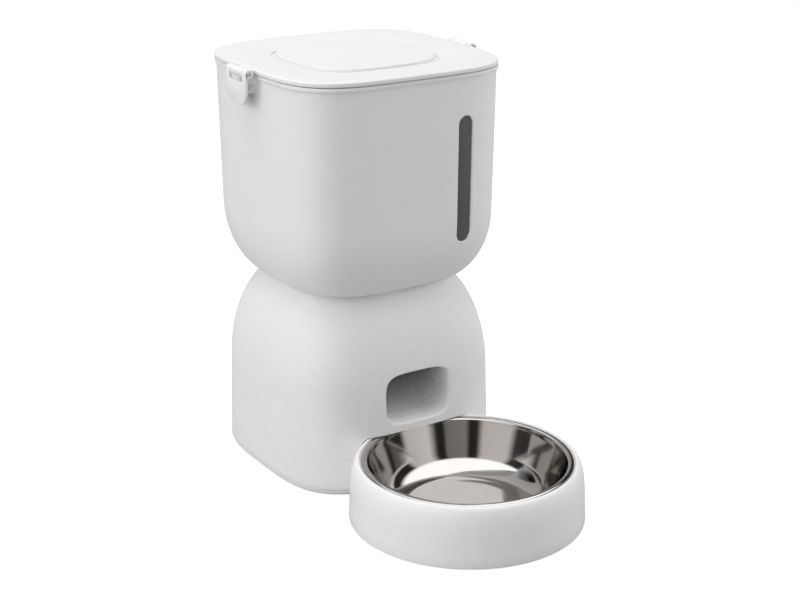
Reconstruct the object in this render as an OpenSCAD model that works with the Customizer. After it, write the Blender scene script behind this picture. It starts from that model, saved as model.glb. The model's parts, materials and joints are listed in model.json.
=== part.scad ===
// Automatic pet feeder: a square tower with a lift-off hopper, a motor-driven
// paddle rotor, a chute in the front and a steel bowl docked under its mouth.
// The origin is on the floor under the tower's centre, +Z up, front to -Y.

/* [Tower] */
// Half-width of the base just above its floor cover
base_half = 88.4; // [84:0.2:92]
// Height of the crease between base and hopper
neck_z = 147; // [140:0.5:150]
// Half-width of the hopper at its rim
hopper_half = 87.3; // [85:0.1:90]
// Height of the hopper's rim
hopper_top_z = 305.7; // [296:0.1:320]
// Wall thickness of the moulded shells
wall = 2.3; // [1.8:0.1:3]

/* [Lid] */
// Half-width of the lid
lid_half = 89.25; // [88.5:0.05:92]
// Height of the lid's edge band and top
lid_edge_h = 3.6; // [3:0.1:5]
// Half-width of the raised pad in the middle of the lid
pad_half = 51.7; // [40:0.1:60]

/* [Latches] */
// Width of each latch flap
latch_w = 30.4; // [26:0.2:36]
// Radius of the hinge barrel
barrel_r = 3.3; // [2.8:0.1:3.6]
// Radius of the hinge pin
pin_r = 1.45; // [1:0.05:1.8]

/* [Window] */
// Width of the level window
window_w = 12.4; // [8:0.2:20]
// Height of the level window
window_h = 93.8; // [60:0.2:110]
// Sideways place of the level window on the front face
window_x = 40.2; // [30:0.2:48]

/* [Chute] */
// Half-width of the chute's mouth
chute_half_w = 27.5; // [20:0.5:30]
// Height of the bottom of the chute's mouth
chute_low_z = 50.4; // [49:0.1:55]
// Height of the top of the chute's mouth
chute_high_z = 90; // [80:0.5:92]

/* [Bowl] */
// Distance from the tower's centre forward to the bowl's centre
bowl_forward = 150.4; // [148:0.2:156]
// Outer radius of the steel bowl's rim
rim_r = 75.9; // [72:0.1:76]
// Height of the steel bowl's rim
rim_z = 44.3; // [42:0.1:44.5]
// Outer radius of the bowl stand at the floor
stand_r = 84.9; // [82:0.1:85]
// Height of the overhang that the bowl docks under
dock_z = 45.1; // [45:0.1:47]

/* [Gears] */
// Gear module
gear_m = 1; // [0.9:0.05:1.05]
// Teeth on the output gear
output_teeth = 40; // [40:4:40]
// Teeth on the idler's large wheel
idler_teeth = 36; // [36:4:36]
// Teeth on each pinion
pinion_teeth = 12; // [12:4:12]

/* [Hidden] */

$fn = 64;
eps = 0.01;
clear = 0.3;           // gap between parts that move apart
snug = 0.2;            // gap between parts of one body
run = 0.05;            // radial running clearance of a shaft

ring_points = 60;      // points round each lofted section
base_corner = 3.5;     // superellipse powers: the higher, the squarer
hopper_corner = 4.2;
neck_corner = 3.1;      // both shells grow rounder towards the neck
lid_corner = 3.95;
chute_corner = 4.2;

// Side profiles: a slight draft, then an elliptical shoulder into the neck
base_draft = 0.026;
base_shoulder_z = 76;
base_shoulder = [33, 74];      // depth and height of the shoulder's ellipse
hopper_draft = 0.0143;
hopper_shoulder_z = 195.8;
hopper_shoulder = [20.8, 48.8];
shoulder_steps = 7;

cover_z = 1.2;         // underside of the floor cover
cover_t = 2.8;
foot_pocket = 1;       // depth of the pockets that the feet sit in
seam_z = 6;            // joint between the floor cover and the base shell
neck_gap = 0.5;        // the hopper stands this far above the base
rim_bead = 1;          // the bead round the hopper's rim

deck_z = 99.5;         // underside of the rotor housing's floor
deck_t = 2.5;
rotor_r = 53.4;
rotor_top_z = 130.5;
housing_r = 54.6;
collar_r = 52.4;
throat_r = 50;
funnel_top_z = 188;

shaft_r = 5;
drive_flat = 3.8;      // distance from the shaft's axis to its flat
baffle_z = 131.2;
baffle_t = 1.6;
tray_z = 78;
tray_h = 18;
idler_y = gear_m*(output_teeth + pinion_teeth)/2;
motor_x = gear_m*(idler_teeth + pinion_teeth)/2;
motor_r = 12;
motor_z = 47;

cell_r = 16.6;
cell_len = 61.5;
cell_pitch = 34.6;
cell_z = 22.5;
bay_y = 8.5;           // middle of the battery bay
bay_half = [35, 54.5];
bay_top_z = 42;
door_half = 37.6;
door_rear_y = 86;
board_y = 75.5;        // front face of the upright control board
board_t = 1.6;
board_half_w = 30;
board_low_z = 18;
board_high_z = 80;
button_z = 58;
button_r = 6;
lens_z = 71;
port_z = 26;

lid_top_z = 310;
hinge_x = 94.6;        // latch hinge axis
hinge_z = 307.3;
knuckle_half = 9;      // half-length of the lid's knuckle
flap_low_z = 284;
flap_t = 2;
flap_corner_r = 12;
catch_z = 290;         // underside of the hopper's catch rib
skirt_half = 82.3;     // lid skirt that plugs into the hopper
skirt_low_z = 296.5;
seal_z = 299;

shell_white = [0.93, 0.93, 0.93];
inner_white = [0.85, 0.85, 0.86];
steel = [0.72, 0.72, 0.74];
rubber_grey = [0.35, 0.35, 0.36];
smoke = [0.22, 0.22, 0.23];

// ---------- Curves and lofts ----------

function signed_pow(v, p) = sign(v)*pow(abs(v), p);

// One closed superellipse section of half-widths a and b at height z
function section(a, z, corner, b = 0, points = ring_points) = [
    for (i = [0:points - 1])
        let(t = 360*i/points, y_half = b == 0 ? a : b)
            [a*signed_pow(cos(t), 2/corner), y_half*signed_pow(sin(t), 2/corner), z]
];

// How far an elliptical shoulder has drawn in at a distance past its start
function draw_in(past, ellipse) =
    ellipse[0]*(1 - sqrt(1 - pow(max(past, 0)/ellipse[1], 2)));
function base_half_at(z) =
    base_half - base_draft*z - draw_in(z - base_shoulder_z, base_shoulder);
function hopper_half_at(z) =
    hopper_half - hopper_draft*(hopper_top_z - z)
    - draw_in(hopper_shoulder_z - z, hopper_shoulder);

// The corner exponent of each shell, from its full value at the shoulder's start to the neck's
function corner_at(z, start_z, corner) =
    let(f = max(0, min(1, (z - start_z)/(neck_z - start_z))))
    corner + (neck_corner - corner)*f*f;
function base_corner_at(z) = corner_at(z, base_shoulder_z, base_corner);
function hopper_corner_at(z) = corner_at(z, hopper_shoulder_z, hopper_corner);

// Heights spaced evenly round a shoulder's curve, from its start to the neck
function shoulder_heights(start_z, ellipse, last_z) = [
    for (k = [0:shoulder_steps])
        start_z + sign(last_z - start_z)*ellipse[1]
            *sin(k/shoulder_steps*asin(abs(last_z - start_z)/ellipse[1]))
];

function skin_faces(first, n, next) = [
    for (i = [0:n - 1])
        let(a = first + i, b = first + (i + 1)%n, c = next + i, d = next + (i + 1)%n)
            each [[a, c, d], [a, d, b]]
];

// A solid skinned over a list of sections, from the bottom up, with flat ends
module loft(sections) {
    n = len(sections[0]);
    m = len(sections);
    polyhedron(
        points = [for (s = sections) each s],
        faces = concat(
            [[for (i = [0:n - 1]) i], [for (i = [n - 1:-1:0]) (m - 1)*n + i]],
            [for (j = [0:m - 2]) each skin_faces(j*n, n, (j + 1)*n)]
        )
    );
}

// A closed tube wall: its sections go up the outside and down the inside
module tube(sections) {
    n = len(sections[0]);
    m = len(sections);
    polyhedron(
        points = [for (s = sections) each s],
        faces = [for (j = [0:m - 1]) each skin_faces(j*n, n, (j + 1)%m*n)]
    );
}

// Joins lofted skins into one mesh, at their own size
module meshed() {
    resize([0, 0, 0]) union() { children(); }
}

// A flat plate with rounded corners, standing on z = 0
module rounded_plate(x_half, y_half, r, h) {
    linear_extrude(h) {
        square([2*x_half, 2*(y_half - r)], center = true);
        square([2*(x_half - r), 2*y_half], center = true);
        for (x = [-1, 1], y = [-1, 1])
            translate([x*(x_half - r), y*(y_half - r)]) circle(r);
    }
}

module box(low, high) {
    translate(low) cube(high - low);
}

// Places a shape at each of four corners
module at_corners(x, y) {
    for (i = [-1, 1], j = [-1, 1]) translate([i*x, j*y, 0]) children();
}

module along_x(r, len, $fn = $fn) {
    rotate([0, 90, 0]) cylinder(r = r, h = len, center = true);
}

module along_y(r, len, $fn = $fn) {
    rotate([90, 0, 0]) cylinder(r = r, h = len, center = true);
}

// ---------- Base ----------

module base_block(inset, low_z, high_z) {
    heights = shoulder_heights(base_shoulder_z, base_shoulder, high_z);
    loft([for (z = concat([low_z], heights))
        section(base_half_at(z) - inset, z, base_corner_at(z))]);
}

// The round pocket in the base's front that the bowl stand docks into, which follows its crown
module dock(grow) {
    corner = crown_arc(stand_r + 0.5 + grow, dock_z + grow - side_top_z, 8);
    translate([0, -bowl_forward, 0]) rotate_extrude($fn = 96)
        polygon(concat([[0, -1], [stand_r + 1.5 + grow, -1]], corner, [[0, dock_z + grow]]));
}

module chute_hole(depth) {
    mid_z = (chute_low_z + chute_high_z)/2;
    half_h = (chute_high_z - chute_low_z)/2;
    translate([0, depth, mid_z]) rotate([90, 0, 0])
        loft([for (z = [0, 30]) section(chute_half_w, z, chute_corner, half_h, 40)]);
}

screw_spot = [70, 42];

// Bosses for the cover's screws, each with a rib out to the wall
module screw_bosses() {
    for (x = [-1, 1], y = [-1, 1]) translate([x*screw_spot[0], y*screw_spot[1], seam_z - 2])
        rotate(atan2(y*screw_spot[1], x*screw_spot[0])) difference() {
            union() {
                cylinder(r = 4, h = 40, $fn = 20);
                box([0, -1, 0], [30, 1, 40]);
            }
            translate([0, 0, -eps]) cylinder(r = 1.5, h = 16, $fn = 20);
        }
}

module board_posts() {
    for (x = [-1, 1]*(board_half_w - 4), z = [board_low_z + 4, board_high_z - 4])
        translate([x, board_y + board_t + 4.1, z]) along_y(2.6, 8.2, $fn = 16);
}

module base_shell() {
    color(shell_white) meshed() {
        difference() {
            union() {
                difference() {
                    base_block(0, seam_z, neck_z);
                    base_block(wall, -1, neck_z - wall);
                }
                intersection() {
                    base_block(wall/2, seam_z, neck_z - 1);
                    union() {
                        dock(wall);
                        screw_bosses();
                    }
                }
                board_posts();
            }
            dock(0);
            translate([0, 0, neck_z - 10]) cylinder(r = collar_r + 0.8, h = 20, $fn = 96);
            chute_hole(-75);
            rear_openings();
        }
    }
}

module rear_openings() {
    translate([0, 85, port_z]) rotate([90, 0, 0])
        translate([0, 0, -10]) rounded_plate(4.9, 2, 1.9, 20, $fn = 24);
    translate([0, 85, button_z]) along_y(button_r + clear, 20, $fn = 32);
    translate([0, 85, lens_z]) along_y(1.6, 20, $fn = 16);
}

foot_spot = [63, 58];
foot_r = 7.8;

module cover_block() {
    loft([
        section(84, cover_z, base_corner),
        section(85.8, cover_z + 0.7, base_corner),
        section(87, cover_z + 1.8, base_corner),
        section(87.5, cover_z + 3, base_corner),
        section(87.5, seam_z - 0.4, base_corner)
    ]);
}

module bottom_cover() {
    color(shell_white) meshed() {
        difference() {
            cover_block();
            difference() {
                loft([for (z = [cover_z + cover_t, seam_z]) section(85, z, base_corner)]);
                at_corners(screw_spot[0], screw_spot[1]) cylinder(r = 4.5, h = seam_z - 0.1, $fn = 20);
            }
            dock(0);
            // the battery door's rails, open at the rear
            box([-door_half - clear, bay_y - bay_half[1] - 3, cover_z + 1],
                [door_half + clear, 100, cover_z + 2.2]);
            box([-door_half + 2.4, bay_y - bay_half[1] - 3, cover_z - 1],
                [door_half - 2.4, 100, cover_z + 1.1]);
            box([-bay_half[0] + 1, bay_y - bay_half[1] + 1, cover_z],
                [bay_half[0] - 1, bay_y + bay_half[1] - 1, 10]);
            box([-door_half + 2.4, door_rear_y - 4, cover_z - 1], [door_half - 2.4, 100, 10]);
            at_corners(foot_spot[0], foot_spot[1])
                cylinder(r = foot_r + snug, h = cover_z + foot_pocket, $fn = 32);
            at_corners(screw_spot[0], screw_spot[1]) {
                cylinder(r = 1.9, h = 12, $fn = 20);
                cylinder(r = 3.6, h = cover_z + 1.4, $fn = 20);
            }
        }
    }
}

module tower_feet() {
    color(rubber_grey) at_corners(foot_spot[0], foot_spot[1])
        cylinder(r = foot_r, h = cover_z + foot_pocket);
}

// A cross-slotted screw with its head at the bottom
module screw(head_r, head_h, len) {
    slot = [0.6, head_r, 0.7];
    difference() {
        union() {
            cylinder(r = head_r, h = head_h);
            cylinder(r = 1.45, h = len);
        }
        for (a = [0, 90]) rotate(a) translate([-slot[0]/2, -slot[1]/2, -eps]) cube(slot);
    }
}

module cover_screws() {
    color(steel) at_corners(screw_spot[0], screw_spot[1])
        translate([0, 0, cover_z + 0.3]) screw(3.2, 1.1, 13);
}

// The deck's outlet has the outline of the chute's upper end
module outlet(low_z, h) {
    middle = (chute_floor[2] + chute_roof[2])/2;
    depth = norm(chute_floor[2] - chute_roof[2])/2;
    intersection() {
        translate([0, middle[0], low_z]) linear_extrude(h)
            polygon([for (p = section(chute_half_w, 0, chute_corner, depth)) [p[0], p[1]]]);
        translate([0, 0, low_z]) cylinder(r = housing_r - 3, h = h);
    }
}

module rotor_housing() {
    color(inner_white) difference() {
        union() {
            translate([0, 0, deck_z]) cylinder(r = housing_r + 2.4, h = deck_t);
            translate([0, 0, deck_z + deck_t - eps]) difference() {
                cylinder(r = housing_r + 2.4, h = neck_z - wall - deck_z - deck_t - 0.2);
                translate([0, 0, -1]) cylinder(r = housing_r, h = 50);
            }
            translate([0, 0, neck_z - wall - 2.2]) difference() {
                cylinder(r = housing_r + 6, h = 2);
                translate([0, 0, -1]) cylinder(r = housing_r, h = 50);
            }
        }
        outlet(deck_z - 1, 10);
        translate([0, 0, deck_z - 1]) cylinder(r = 8, h = 10);
        gearbox_corners() translate([0, 0, deck_z - 1]) cylinder(r = 1.5, h = 2.2);
    }
}

// A cover over the outlet, so that only the rotor's cells feed it
module outlet_baffle() {
    color(inner_white) translate([0, 0, baffle_z]) difference() {
        cylinder(r = housing_r - 0.05, h = baffle_t);
        translate([0, 0, -1]) cylinder(r = 16, h = 10);
        for (side = [-1, 1]) rotate(side*40) translate([side*100, 0, 4]) cube(200, center = true);
        translate([0, 100, 4]) cube(200, center = true);
    }
}

// Chute floor and ceiling lines, from just behind the mouth back and up to the deck
chute_floor = [[-84.2, chute_low_z + 1], [-48, 60], [-28.5, deck_z - 0.1]];
chute_roof = [[-82.4, chute_high_z], [-60, 91], [-52.5, deck_z - 0.1]];

function bezier(p, t) = (1 - t)*(1 - t)*p[0] + 2*t*(1 - t)*p[1] + t*t*p[2];

function chute_section(t, grow) =
    let(
        low = bezier(chute_floor, t),
        high = bezier(chute_roof, t),
        mid = (low + high)/2,
        up = (high - low)/norm(high - low),
        half_h = norm(high - low)/2 + grow,
        half_w = chute_half_w + grow
    )
    [for (p = section(half_w, 0, chute_corner, half_h))
        [p[0], mid[0] + up[0]*p[1], mid[1] + up[1]*p[1]]];

module chute_duct() {
    steps = 9;
    inner = [for (k = [0:steps]) chute_section(k/steps, 0)];
    outer = [for (k = [steps:-1:0]) chute_section(k/steps, 1.6)];
    color(shell_white) tube(concat(outer, inner));
}

// ---------- Drive ----------

// Gearbox screw places, beside its long walls
module gearbox_corners() {
    for (x = [-26, 36], y = [-14, 38]) translate([x, y, 0]) children();
}

module gearbox_block(grow, h) {
    translate([5, 12, 0]) rounded_plate(29 + grow, 36 + grow, 6 + grow, h);
}

module gearbox_tray() {
    color(inner_white) difference() {
        union() {
            translate([0, 0, tray_z]) gearbox_block(0, tray_h);
            gearbox_corners() translate([0, 0, tray_z]) cylinder(r = 4, h = tray_h);
        }
        difference() {
            translate([0, 0, tray_z + 2]) gearbox_block(-2, tray_h);
            gearbox_corners() translate([0, 0, tray_z]) cylinder(r = 4, h = tray_h);
        }
        gearbox_corners() translate([0, 0, tray_z - 1]) cylinder(r = 1.6, h = tray_h + 2);
        translate([0, 0, tray_z - 1]) cylinder(r = 3 + run, h = 4);
        translate([0, idler_y, tray_z - 1]) cylinder(r = 1.5, h = 4);
        translate([motor_x, idler_y, tray_z - 1]) cylinder(r = 3.1, h = 4);
    }
}

module gearbox_lid() {
    color(inner_white) difference() {
        translate([0, 0, tray_z + tray_h]) {
            gearbox_block(0, 2);
            gearbox_corners() cylinder(r = 4, h = deck_z - tray_z - tray_h);
        }
        gearbox_corners() translate([0, 0, tray_z + tray_h - 1]) cylinder(r = 1.6, h = 6);
        translate([0, 0, tray_z + tray_h - 1]) cylinder(r = shaft_r + run, h = 6);
        translate([0, idler_y, tray_z + tray_h - 1]) cylinder(r = 1.5, h = 6);
    }
}

module gearbox_screws() {
    color(steel) gearbox_corners() translate([0, 0, tray_z - 1.6]) screw(2.8, 1.6, 24);
}

module idler_axle() {
    color(steel) translate([0, idler_y, tray_z]) cylinder(r = 1.5, h = tray_h + 2);
}

module shaft_bush() {
    color(smoke) translate([0, 0, deck_z]) difference() {
        union() {
            cylinder(r = 8, h = deck_t + 0.8);
            translate([0, 0, deck_t]) cylinder(r = 10, h = 0.8);
        }
        translate([0, 0, -1]) cylinder(r = shaft_r + run, h = 10);
    }
}

module motor_can() {
    color(steel) translate([motor_x, idler_y, 0]) difference() {
        union() {
            translate([0, 0, motor_z]) cylinder(r = motor_r, h = tray_z - motor_z - 0.1);
            translate([0, 0, tray_z - 1]) cylinder(r = 3, h = 2.6);
            translate([0, 0, motor_z - 1.2]) cylinder(r = 4, h = 1.3);
            for (x = [-7, 7]) translate([x - 1.2, -0.3, motor_z - 3.5]) cube([2.4, 0.6, 4]);
        }
        translate([0, 0, 55]) cylinder(r = 1 + run, h = 40);
    }
}

// Involute gear, with its first tooth centred on +X
pressure_angle = 25;
backlash = 0.12;

function involute_point(base_r, roll) =
    base_r*[cos(roll) + roll*PI/180*sin(roll), sin(roll) - roll*PI/180*cos(roll)];
function polar(r, a) = [r*cos(a), r*sin(a)];
function roll_at(base_r, r) = 180/PI*sqrt(max(0, pow(r/base_r, 2) - 1));

module gear_outline(teeth) {
    pitch_r = gear_m*teeth/2;
    base_r = pitch_r*cos(pressure_angle);
    root_r = pitch_r - 1.25*gear_m;
    tip_r = pitch_r + 0.95*gear_m;
    flank_steps = 4;
    low_roll = roll_at(base_r, max(base_r, root_r));
    high_roll = roll_at(base_r, tip_r);
    pitch_point = involute_point(base_r, roll_at(base_r, pitch_r));
    half_tooth = 90/teeth - backlash/2/pitch_r*180/PI;
    turn = half_tooth + atan2(pitch_point[1], pitch_point[0]);
    flank = [for (k = [0:flank_steps])
        let(p = involute_point(base_r, low_roll + (high_roll - low_roll)*k/flank_steps))
            polar(norm(p), turn - atan2(p[1], p[0]))];
    tooth = concat(
        [polar(root_r, -atan2(flank[0][1], flank[0][0]))],
        [for (k = [0:flank_steps]) [flank[k][0], -flank[k][1]]],
        [for (k = [flank_steps:-1:0]) flank[k]],
        [polar(root_r, atan2(flank[0][1], flank[0][0]))]
    );
    polygon([for (i = [0:teeth - 1], p = tooth)
        let(a = 360*i/teeth) [p[0]*cos(a) - p[1]*sin(a), p[0]*sin(a) + p[1]*cos(a)]]);
}

large_wheel_z = 82;
small_wheel_z = 86.2;
output_wheel_z = 88;

module motor_shaft() {
    color(steel) translate([motor_x, idler_y, 56]) cylinder(r = 1, h = 32);
}

// Turned so that a tooth gap faces the idler's tooth
module motor_pinion() {
    color(inner_white) translate([motor_x, idler_y, large_wheel_z - 0.5]) difference() {
        linear_extrude(5) rotate(180 + 180/pinion_teeth) gear_outline(pinion_teeth);
        translate([0, 0, -1]) cylinder(r = 1, h = 10);
    }
}

module idler_gear() {
    color(inner_white) translate([0, idler_y, 0]) difference() {
        union() {
            translate([0, 0, large_wheel_z]) linear_extrude(4.2) gear_outline(idler_teeth);
            translate([0, 0, small_wheel_z - eps])
                linear_extrude(8) rotate(-90 + 180/pinion_teeth) gear_outline(pinion_teeth);
        }
        translate([0, 0, 80]) cylinder(r = 1.5 + run, h = 20);
    }
}

module drive_section(r, flat) {
    intersection() {
        circle(r);
        translate([-20, -20]) square([40, 20 + flat]);
    }
}

module output_gear() {
    color(inner_white) {
        translate([0, 0, output_wheel_z]) linear_extrude(5) rotate(90) gear_outline(output_teeth);
        translate([0, 0, tray_z + 0.3]) cylinder(r = 3, h = output_wheel_z - tray_z);
        translate([0, 0, output_wheel_z + 4]) cylinder(r = shaft_r, h = 11.05);
        translate([0, 0, output_wheel_z + 15]) linear_extrude(16)
            drive_section(shaft_r, drive_flat);
    }
}

module paddle_rotor() {
    low_z = deck_z + deck_t + 1.1;
    h = rotor_top_z - low_z;
    color([0.55, 0.56, 0.58]) translate([0, 0, low_z]) difference() {
        union() {
            cylinder(r = 12, h = h);
            for (k = [0:5]) rotate(60*k + 30) {
                translate([0, -1, 0]) cube([rotor_r - 1, 2, h]);
                translate([rotor_r - 1, 0, 0]) cylinder(r = 1, h = h);
            }
        }
        translate([0, 0, -1]) linear_extrude(18.5) drive_section(shaft_r + run, drive_flat + run);
        translate([0, 0, h - 5]) cylinder(r = 4, h = 6);
    }
}

module rotor_cap() {
    color([0.55, 0.56, 0.58]) {
        translate([0, 0, rotor_top_z - 4]) cylinder(r = 3.9, h = 4.1);
        translate([0, 0, rotor_top_z]) {
            cylinder(r = 13, h = 4);
            translate([0, 0, 4]) cylinder(r1 = 13, r2 = 4, h = 12);
            translate([0, 0, 15]) sphere(r = 4.2);
            for (k = [0, 1]) rotate(180*k) {
                translate([0, 0, 8]) rotate([0, 90, 0]) cylinder(r = 2, h = 30);
                translate([30, 0, 8]) cylinder(r = 2.4, h = 9);
            }
        }
    }
}

// ---------- Power and control ----------

module battery_box() {
    t = 1.6;
    color(inner_white) difference() {
        translate([0, bay_y, cover_z + cover_t + 0.2])
            rounded_plate(bay_half[0], bay_half[1], 3, bay_top_z - cover_z - cover_t - 0.2);
        box([-bay_half[0] + t, bay_y - bay_half[1] + t, 0],
            [bay_half[0] - t, bay_y + bay_half[1] - t, bay_top_z - t]);
    }
}

module battery_cells() {
    color([0.16, 0.3, 0.5]) for (k = [-1:1]) {
        turn = k == 0 ? -1 : 1;
        translate([0, bay_y + cell_pitch*k, cell_z]) {
            along_x(cell_r, cell_len - 2.6);
            translate([turn*(cell_len/2 - 1), 0, 0]) along_x(4.8, 2);
        }
    }
}

module battery_contacts() {
    color(steel) for (k = [-1:1]) translate([0, bay_y + cell_pitch*k, cell_z]) {
        turn = k == 0 ? -1 : 1;
        for (side = [-1, 1]) translate([side*(bay_half[0] - 1.6 - 0.35), 0, 0])
            box([-0.2, -9, -9], [0.2, 9, 9]);
        for (coil = [0:2]) translate([-turn*(cell_len/2 - 0.7 + 1.1*coil), 0, 0])
            rotate([0, 90, 0]) rotate_extrude() translate([6 - coil, 0]) circle(0.5);
    }
}

module control_board() {
    color([0.1, 0.36, 0.2]) difference() {
        box([-board_half_w, board_y, board_low_z], [board_half_w, board_y + board_t, board_high_z]);
        for (x = [-1, 1]*(board_half_w - 4), z = [board_low_z + 4, board_high_z - 4])
            translate([x, board_y, z]) along_y(1.2, 10);
    }
}

// A round lead through a list of points
module lead(points, r) {
    for (i = [0:len(points) - 1]) {
        translate(points[i]) sphere(r);
        if (i > 0) {
            v = points[i] - points[i - 1];
            translate(points[i - 1]) rotate([0, acos(v[2]/norm(v)), atan2(v[1], v[0])])
                cylinder(r = r, h = norm(v));
        }
    }
}

module wiring() {
    lead_z = bay_top_z + 2.2;
    color([0.7, 0.15, 0.12]) {
        lead([[motor_x, 27, lead_z], [motor_x, 62, lead_z], [16, 70, lead_z],
            [16, board_y - 1.1, lead_z]], 1);
        lead([[25, bay_y + bay_half[1] + 1.1, 28], [25, board_y - 1.1, 28]], 1);
    }
}

module board_parts() {
    color(smoke) {
        box([-24, board_y - 3.2, 58], [-6, board_y - 0.05, 76]);
        box([-4, board_y - 1.6, 40], [6, board_y - 0.05, 50]);
        translate([18, board_y - 4, 66]) along_y(6, 7.8);
        for (x = [-18, -8]) translate([x, board_y - 5, 34]) along_y(4, 9.8);
        box([-3, board_y + board_t + 0.05, button_z - 3], [3, board_y + board_t + 2, button_z + 3]);
    }
}

module usb_port() {
    color(steel) translate([0, 86.2, port_z]) rotate([90, 0, 0]) difference() {
        rounded_plate(4.5, 1.6, 1.5, 9);
        translate([0, 0, -1]) difference() {
            rounded_plate(4.2, 1.3, 1.25, 9);
            translate([0, 0, 2]) rounded_plate(3.3, 0.35, 0.3, 8);
        }
    }
}

module status_lens() {
    front_y = base_half_at(lens_z) - 0.3;
    color([0.9, 0.95, 0.9]) translate([0, front_y - 3.8, lens_z]) {
        along_y(1.5, 7.6);
        translate([0, -3.2, 0]) along_y(2.6, 1.2);
    }
}

module battery_door() {
    front_y = bay_y - bay_half[1] - 2.6;
    low_z = cover_z + 0.1;
    top_z = cover_z + 2.1;
    color(shell_white) difference() {
        union() {
            box([-door_half, front_y, cover_z + 1.1], [door_half, door_rear_y - 4, top_z]);
            translate([-door_half + 2.7, 0, 0]) rotate([90, 0, 90])
                linear_extrude(2*door_half - 5.4) polygon([
                    [front_y, low_z], [door_rear_y - 1.6, low_z], [door_rear_y, low_z + 1.6],
                    [door_rear_y, seam_z - 1], [door_rear_y - 2.4, seam_z - 1],
                    [door_rear_y - 2.4, top_z], [front_y, top_z]
                ]);
        }
        for (k = [0:4]) box([-14, door_rear_y - 18 + 3*k, 0],
            [14, door_rear_y - 16.8 + 3*k, cover_z + 0.6]);
    }
}

// The manual feed button: a cap with a flange inside the wall and a plunger
module feed_button() {
    outer_y = base_half_at(button_z);
    flange_y = outer_y - wall - clear;
    plunger_y = board_y + board_t + 3.6;
    color(inner_white) translate([0, 0, button_z]) {
        translate([0, (flange_y + outer_y + 1.3)/2, 0])
            along_y(button_r, outer_y + 1.3 - flange_y);
        translate([0, flange_y - 0.8, 0]) along_y(button_r + 1.6, 1.6);
        translate([0, (plunger_y + flange_y)/2, 0]) along_y(2, flange_y - plunger_y);
    }
}

// ---------- Hopper ----------

module hopper_block(inset, low_z, high_z) {
    heights = shoulder_heights(hopper_shoulder_z, hopper_shoulder, low_z);
    rising = [for (k = [len(heights) - 1:-1:0]) heights[k]];
    loft([for (z = concat(rising, [250, high_z]))
        section(hopper_half_at(z) - inset, z, hopper_corner_at(z))]);
}

module window_slot(grow, depth) {
    r = window_w/2 + grow;
    translate([window_x, -95, 228.4]) rotate([-90, 0, 0]) linear_extrude(depth) {
        for (y = [-1, 1]) translate([0, y*(window_h - window_w)/2]) circle(r, $fn = 32);
        square([2*r, window_h - window_w], center = true);
    }
}

module hopper_shell() {
    bottom_z = neck_z + neck_gap;
    color(shell_white) meshed() difference() {
        union() {
            hopper_block(0, bottom_z, hopper_top_z);
            loft([
                section(hopper_half - 0.4, hopper_top_z - 3.4, hopper_corner),
                section(hopper_half + rim_bead, hopper_top_z - 2.6, hopper_corner),
                section(hopper_half + rim_bead, hopper_top_z - 0.5, hopper_corner),
                section(hopper_half + rim_bead - 0.5, hopper_top_z, hopper_corner)
            ]);
            for (side = [-1, 1]) scale([side, 1, 1]) translate([0, 8, 0]) rotate([90, 0, 0])
                linear_extrude(16) polygon([
                    [hopper_half - 1, catch_z], [hopper_half + 4.8, catch_z],
                    [hopper_half + 4.8, catch_z + 1.4], [hopper_half - 1, catch_z + 6]
                ]);
        }
        hopper_block(wall, bottom_z + wall, hopper_top_z + 5);
        translate([0, 0, bottom_z - 1]) cylinder(r = collar_r + snug, h = 10, $fn = 96);
        window_slot(0, 20);
    }
}

module hopper_funnel() {
    bottom_z = baffle_z + 2;
    lip = 2.4;
    steps = 6;
    flare_z = neck_z + neck_gap + 4;
    top_half = hopper_half_at(funnel_top_z) - wall - snug;
    function flare(k, inset) =
        let(f = k/steps, z = flare_z + (funnel_top_z - flare_z)*f)
            section(collar_r - inset + (top_half - collar_r)*f, z + (inset > 0 ? 0.6 : 0),
                2 + (hopper_corner_at(funnel_top_z) - 2)*min(1, 1.5*f));
    outer = concat([section(collar_r, bottom_z, 2)], [for (k = [0:steps]) flare(k, 0)]);
    inner = concat([for (k = [steps:-1:0]) flare(k, lip)], [section(collar_r - lip, bottom_z, 2)]);
    color(inner_white) tube(concat(outer, inner));
}

module window_lens() {
    color(smoke) meshed() intersection() {
        window_slot(-0.15, 20);
        difference() {
            hopper_block(0.5, neck_z + neck_gap, hopper_top_z);
            hopper_block(wall, neck_z + neck_gap + wall, hopper_top_z + 5);
        }
    }
}

// ---------- Lid ----------

module lid_plate() {
    low_z = lid_top_z - lid_edge_h;
    loft([
        section(skirt_half - 2, low_z, lid_corner),
        section(skirt_half - 2, skirt_low_z, lid_corner),
        section(skirt_half, skirt_low_z, lid_corner),
        section(skirt_half, low_z, lid_corner),
        section(lid_half - 0.7, low_z, lid_corner),
        section(lid_half, low_z + 0.8, lid_corner),
        section(lid_half, lid_top_z - 1.3, lid_corner),
        section(lid_half - 0.5, lid_top_z - 0.5, lid_corner),
        section(lid_half - 1.6, lid_top_z - 0.05, lid_corner),
        section(lid_half - 16, lid_top_z - 0.3, lid_corner),
        section(pad_half + 11, lid_top_z - 0.7, lid_corner),
        section(pad_half + 6.5, lid_top_z - 1.2, lid_corner),
        section(pad_half + 3.2, lid_top_z - 1.8, lid_corner),
        section(pad_half + 0.5, lid_top_z - 1.9, lid_corner),
        section(pad_half, lid_top_z - 0.5, lid_corner),
        section(pad_half - 0.7, lid_top_z, lid_corner)
    ]);
}

module knuckle(side) {
    translate([side*hinge_x, 0, hinge_z]) difference() {
        union() {
            along_y(barrel_r, 2*knuckle_half);
            box([side > 0 ? -7 : 0, -knuckle_half, -0.6], [side > 0 ? 0 : 7, knuckle_half, 1.6]);
        }
        along_y(pin_r, 2*knuckle_half + 2);
    }
}

module lid_shell() {
    color(shell_white) {
        lid_plate();
        for (side = [-1, 1]) knuckle(side);
    }
}

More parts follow.
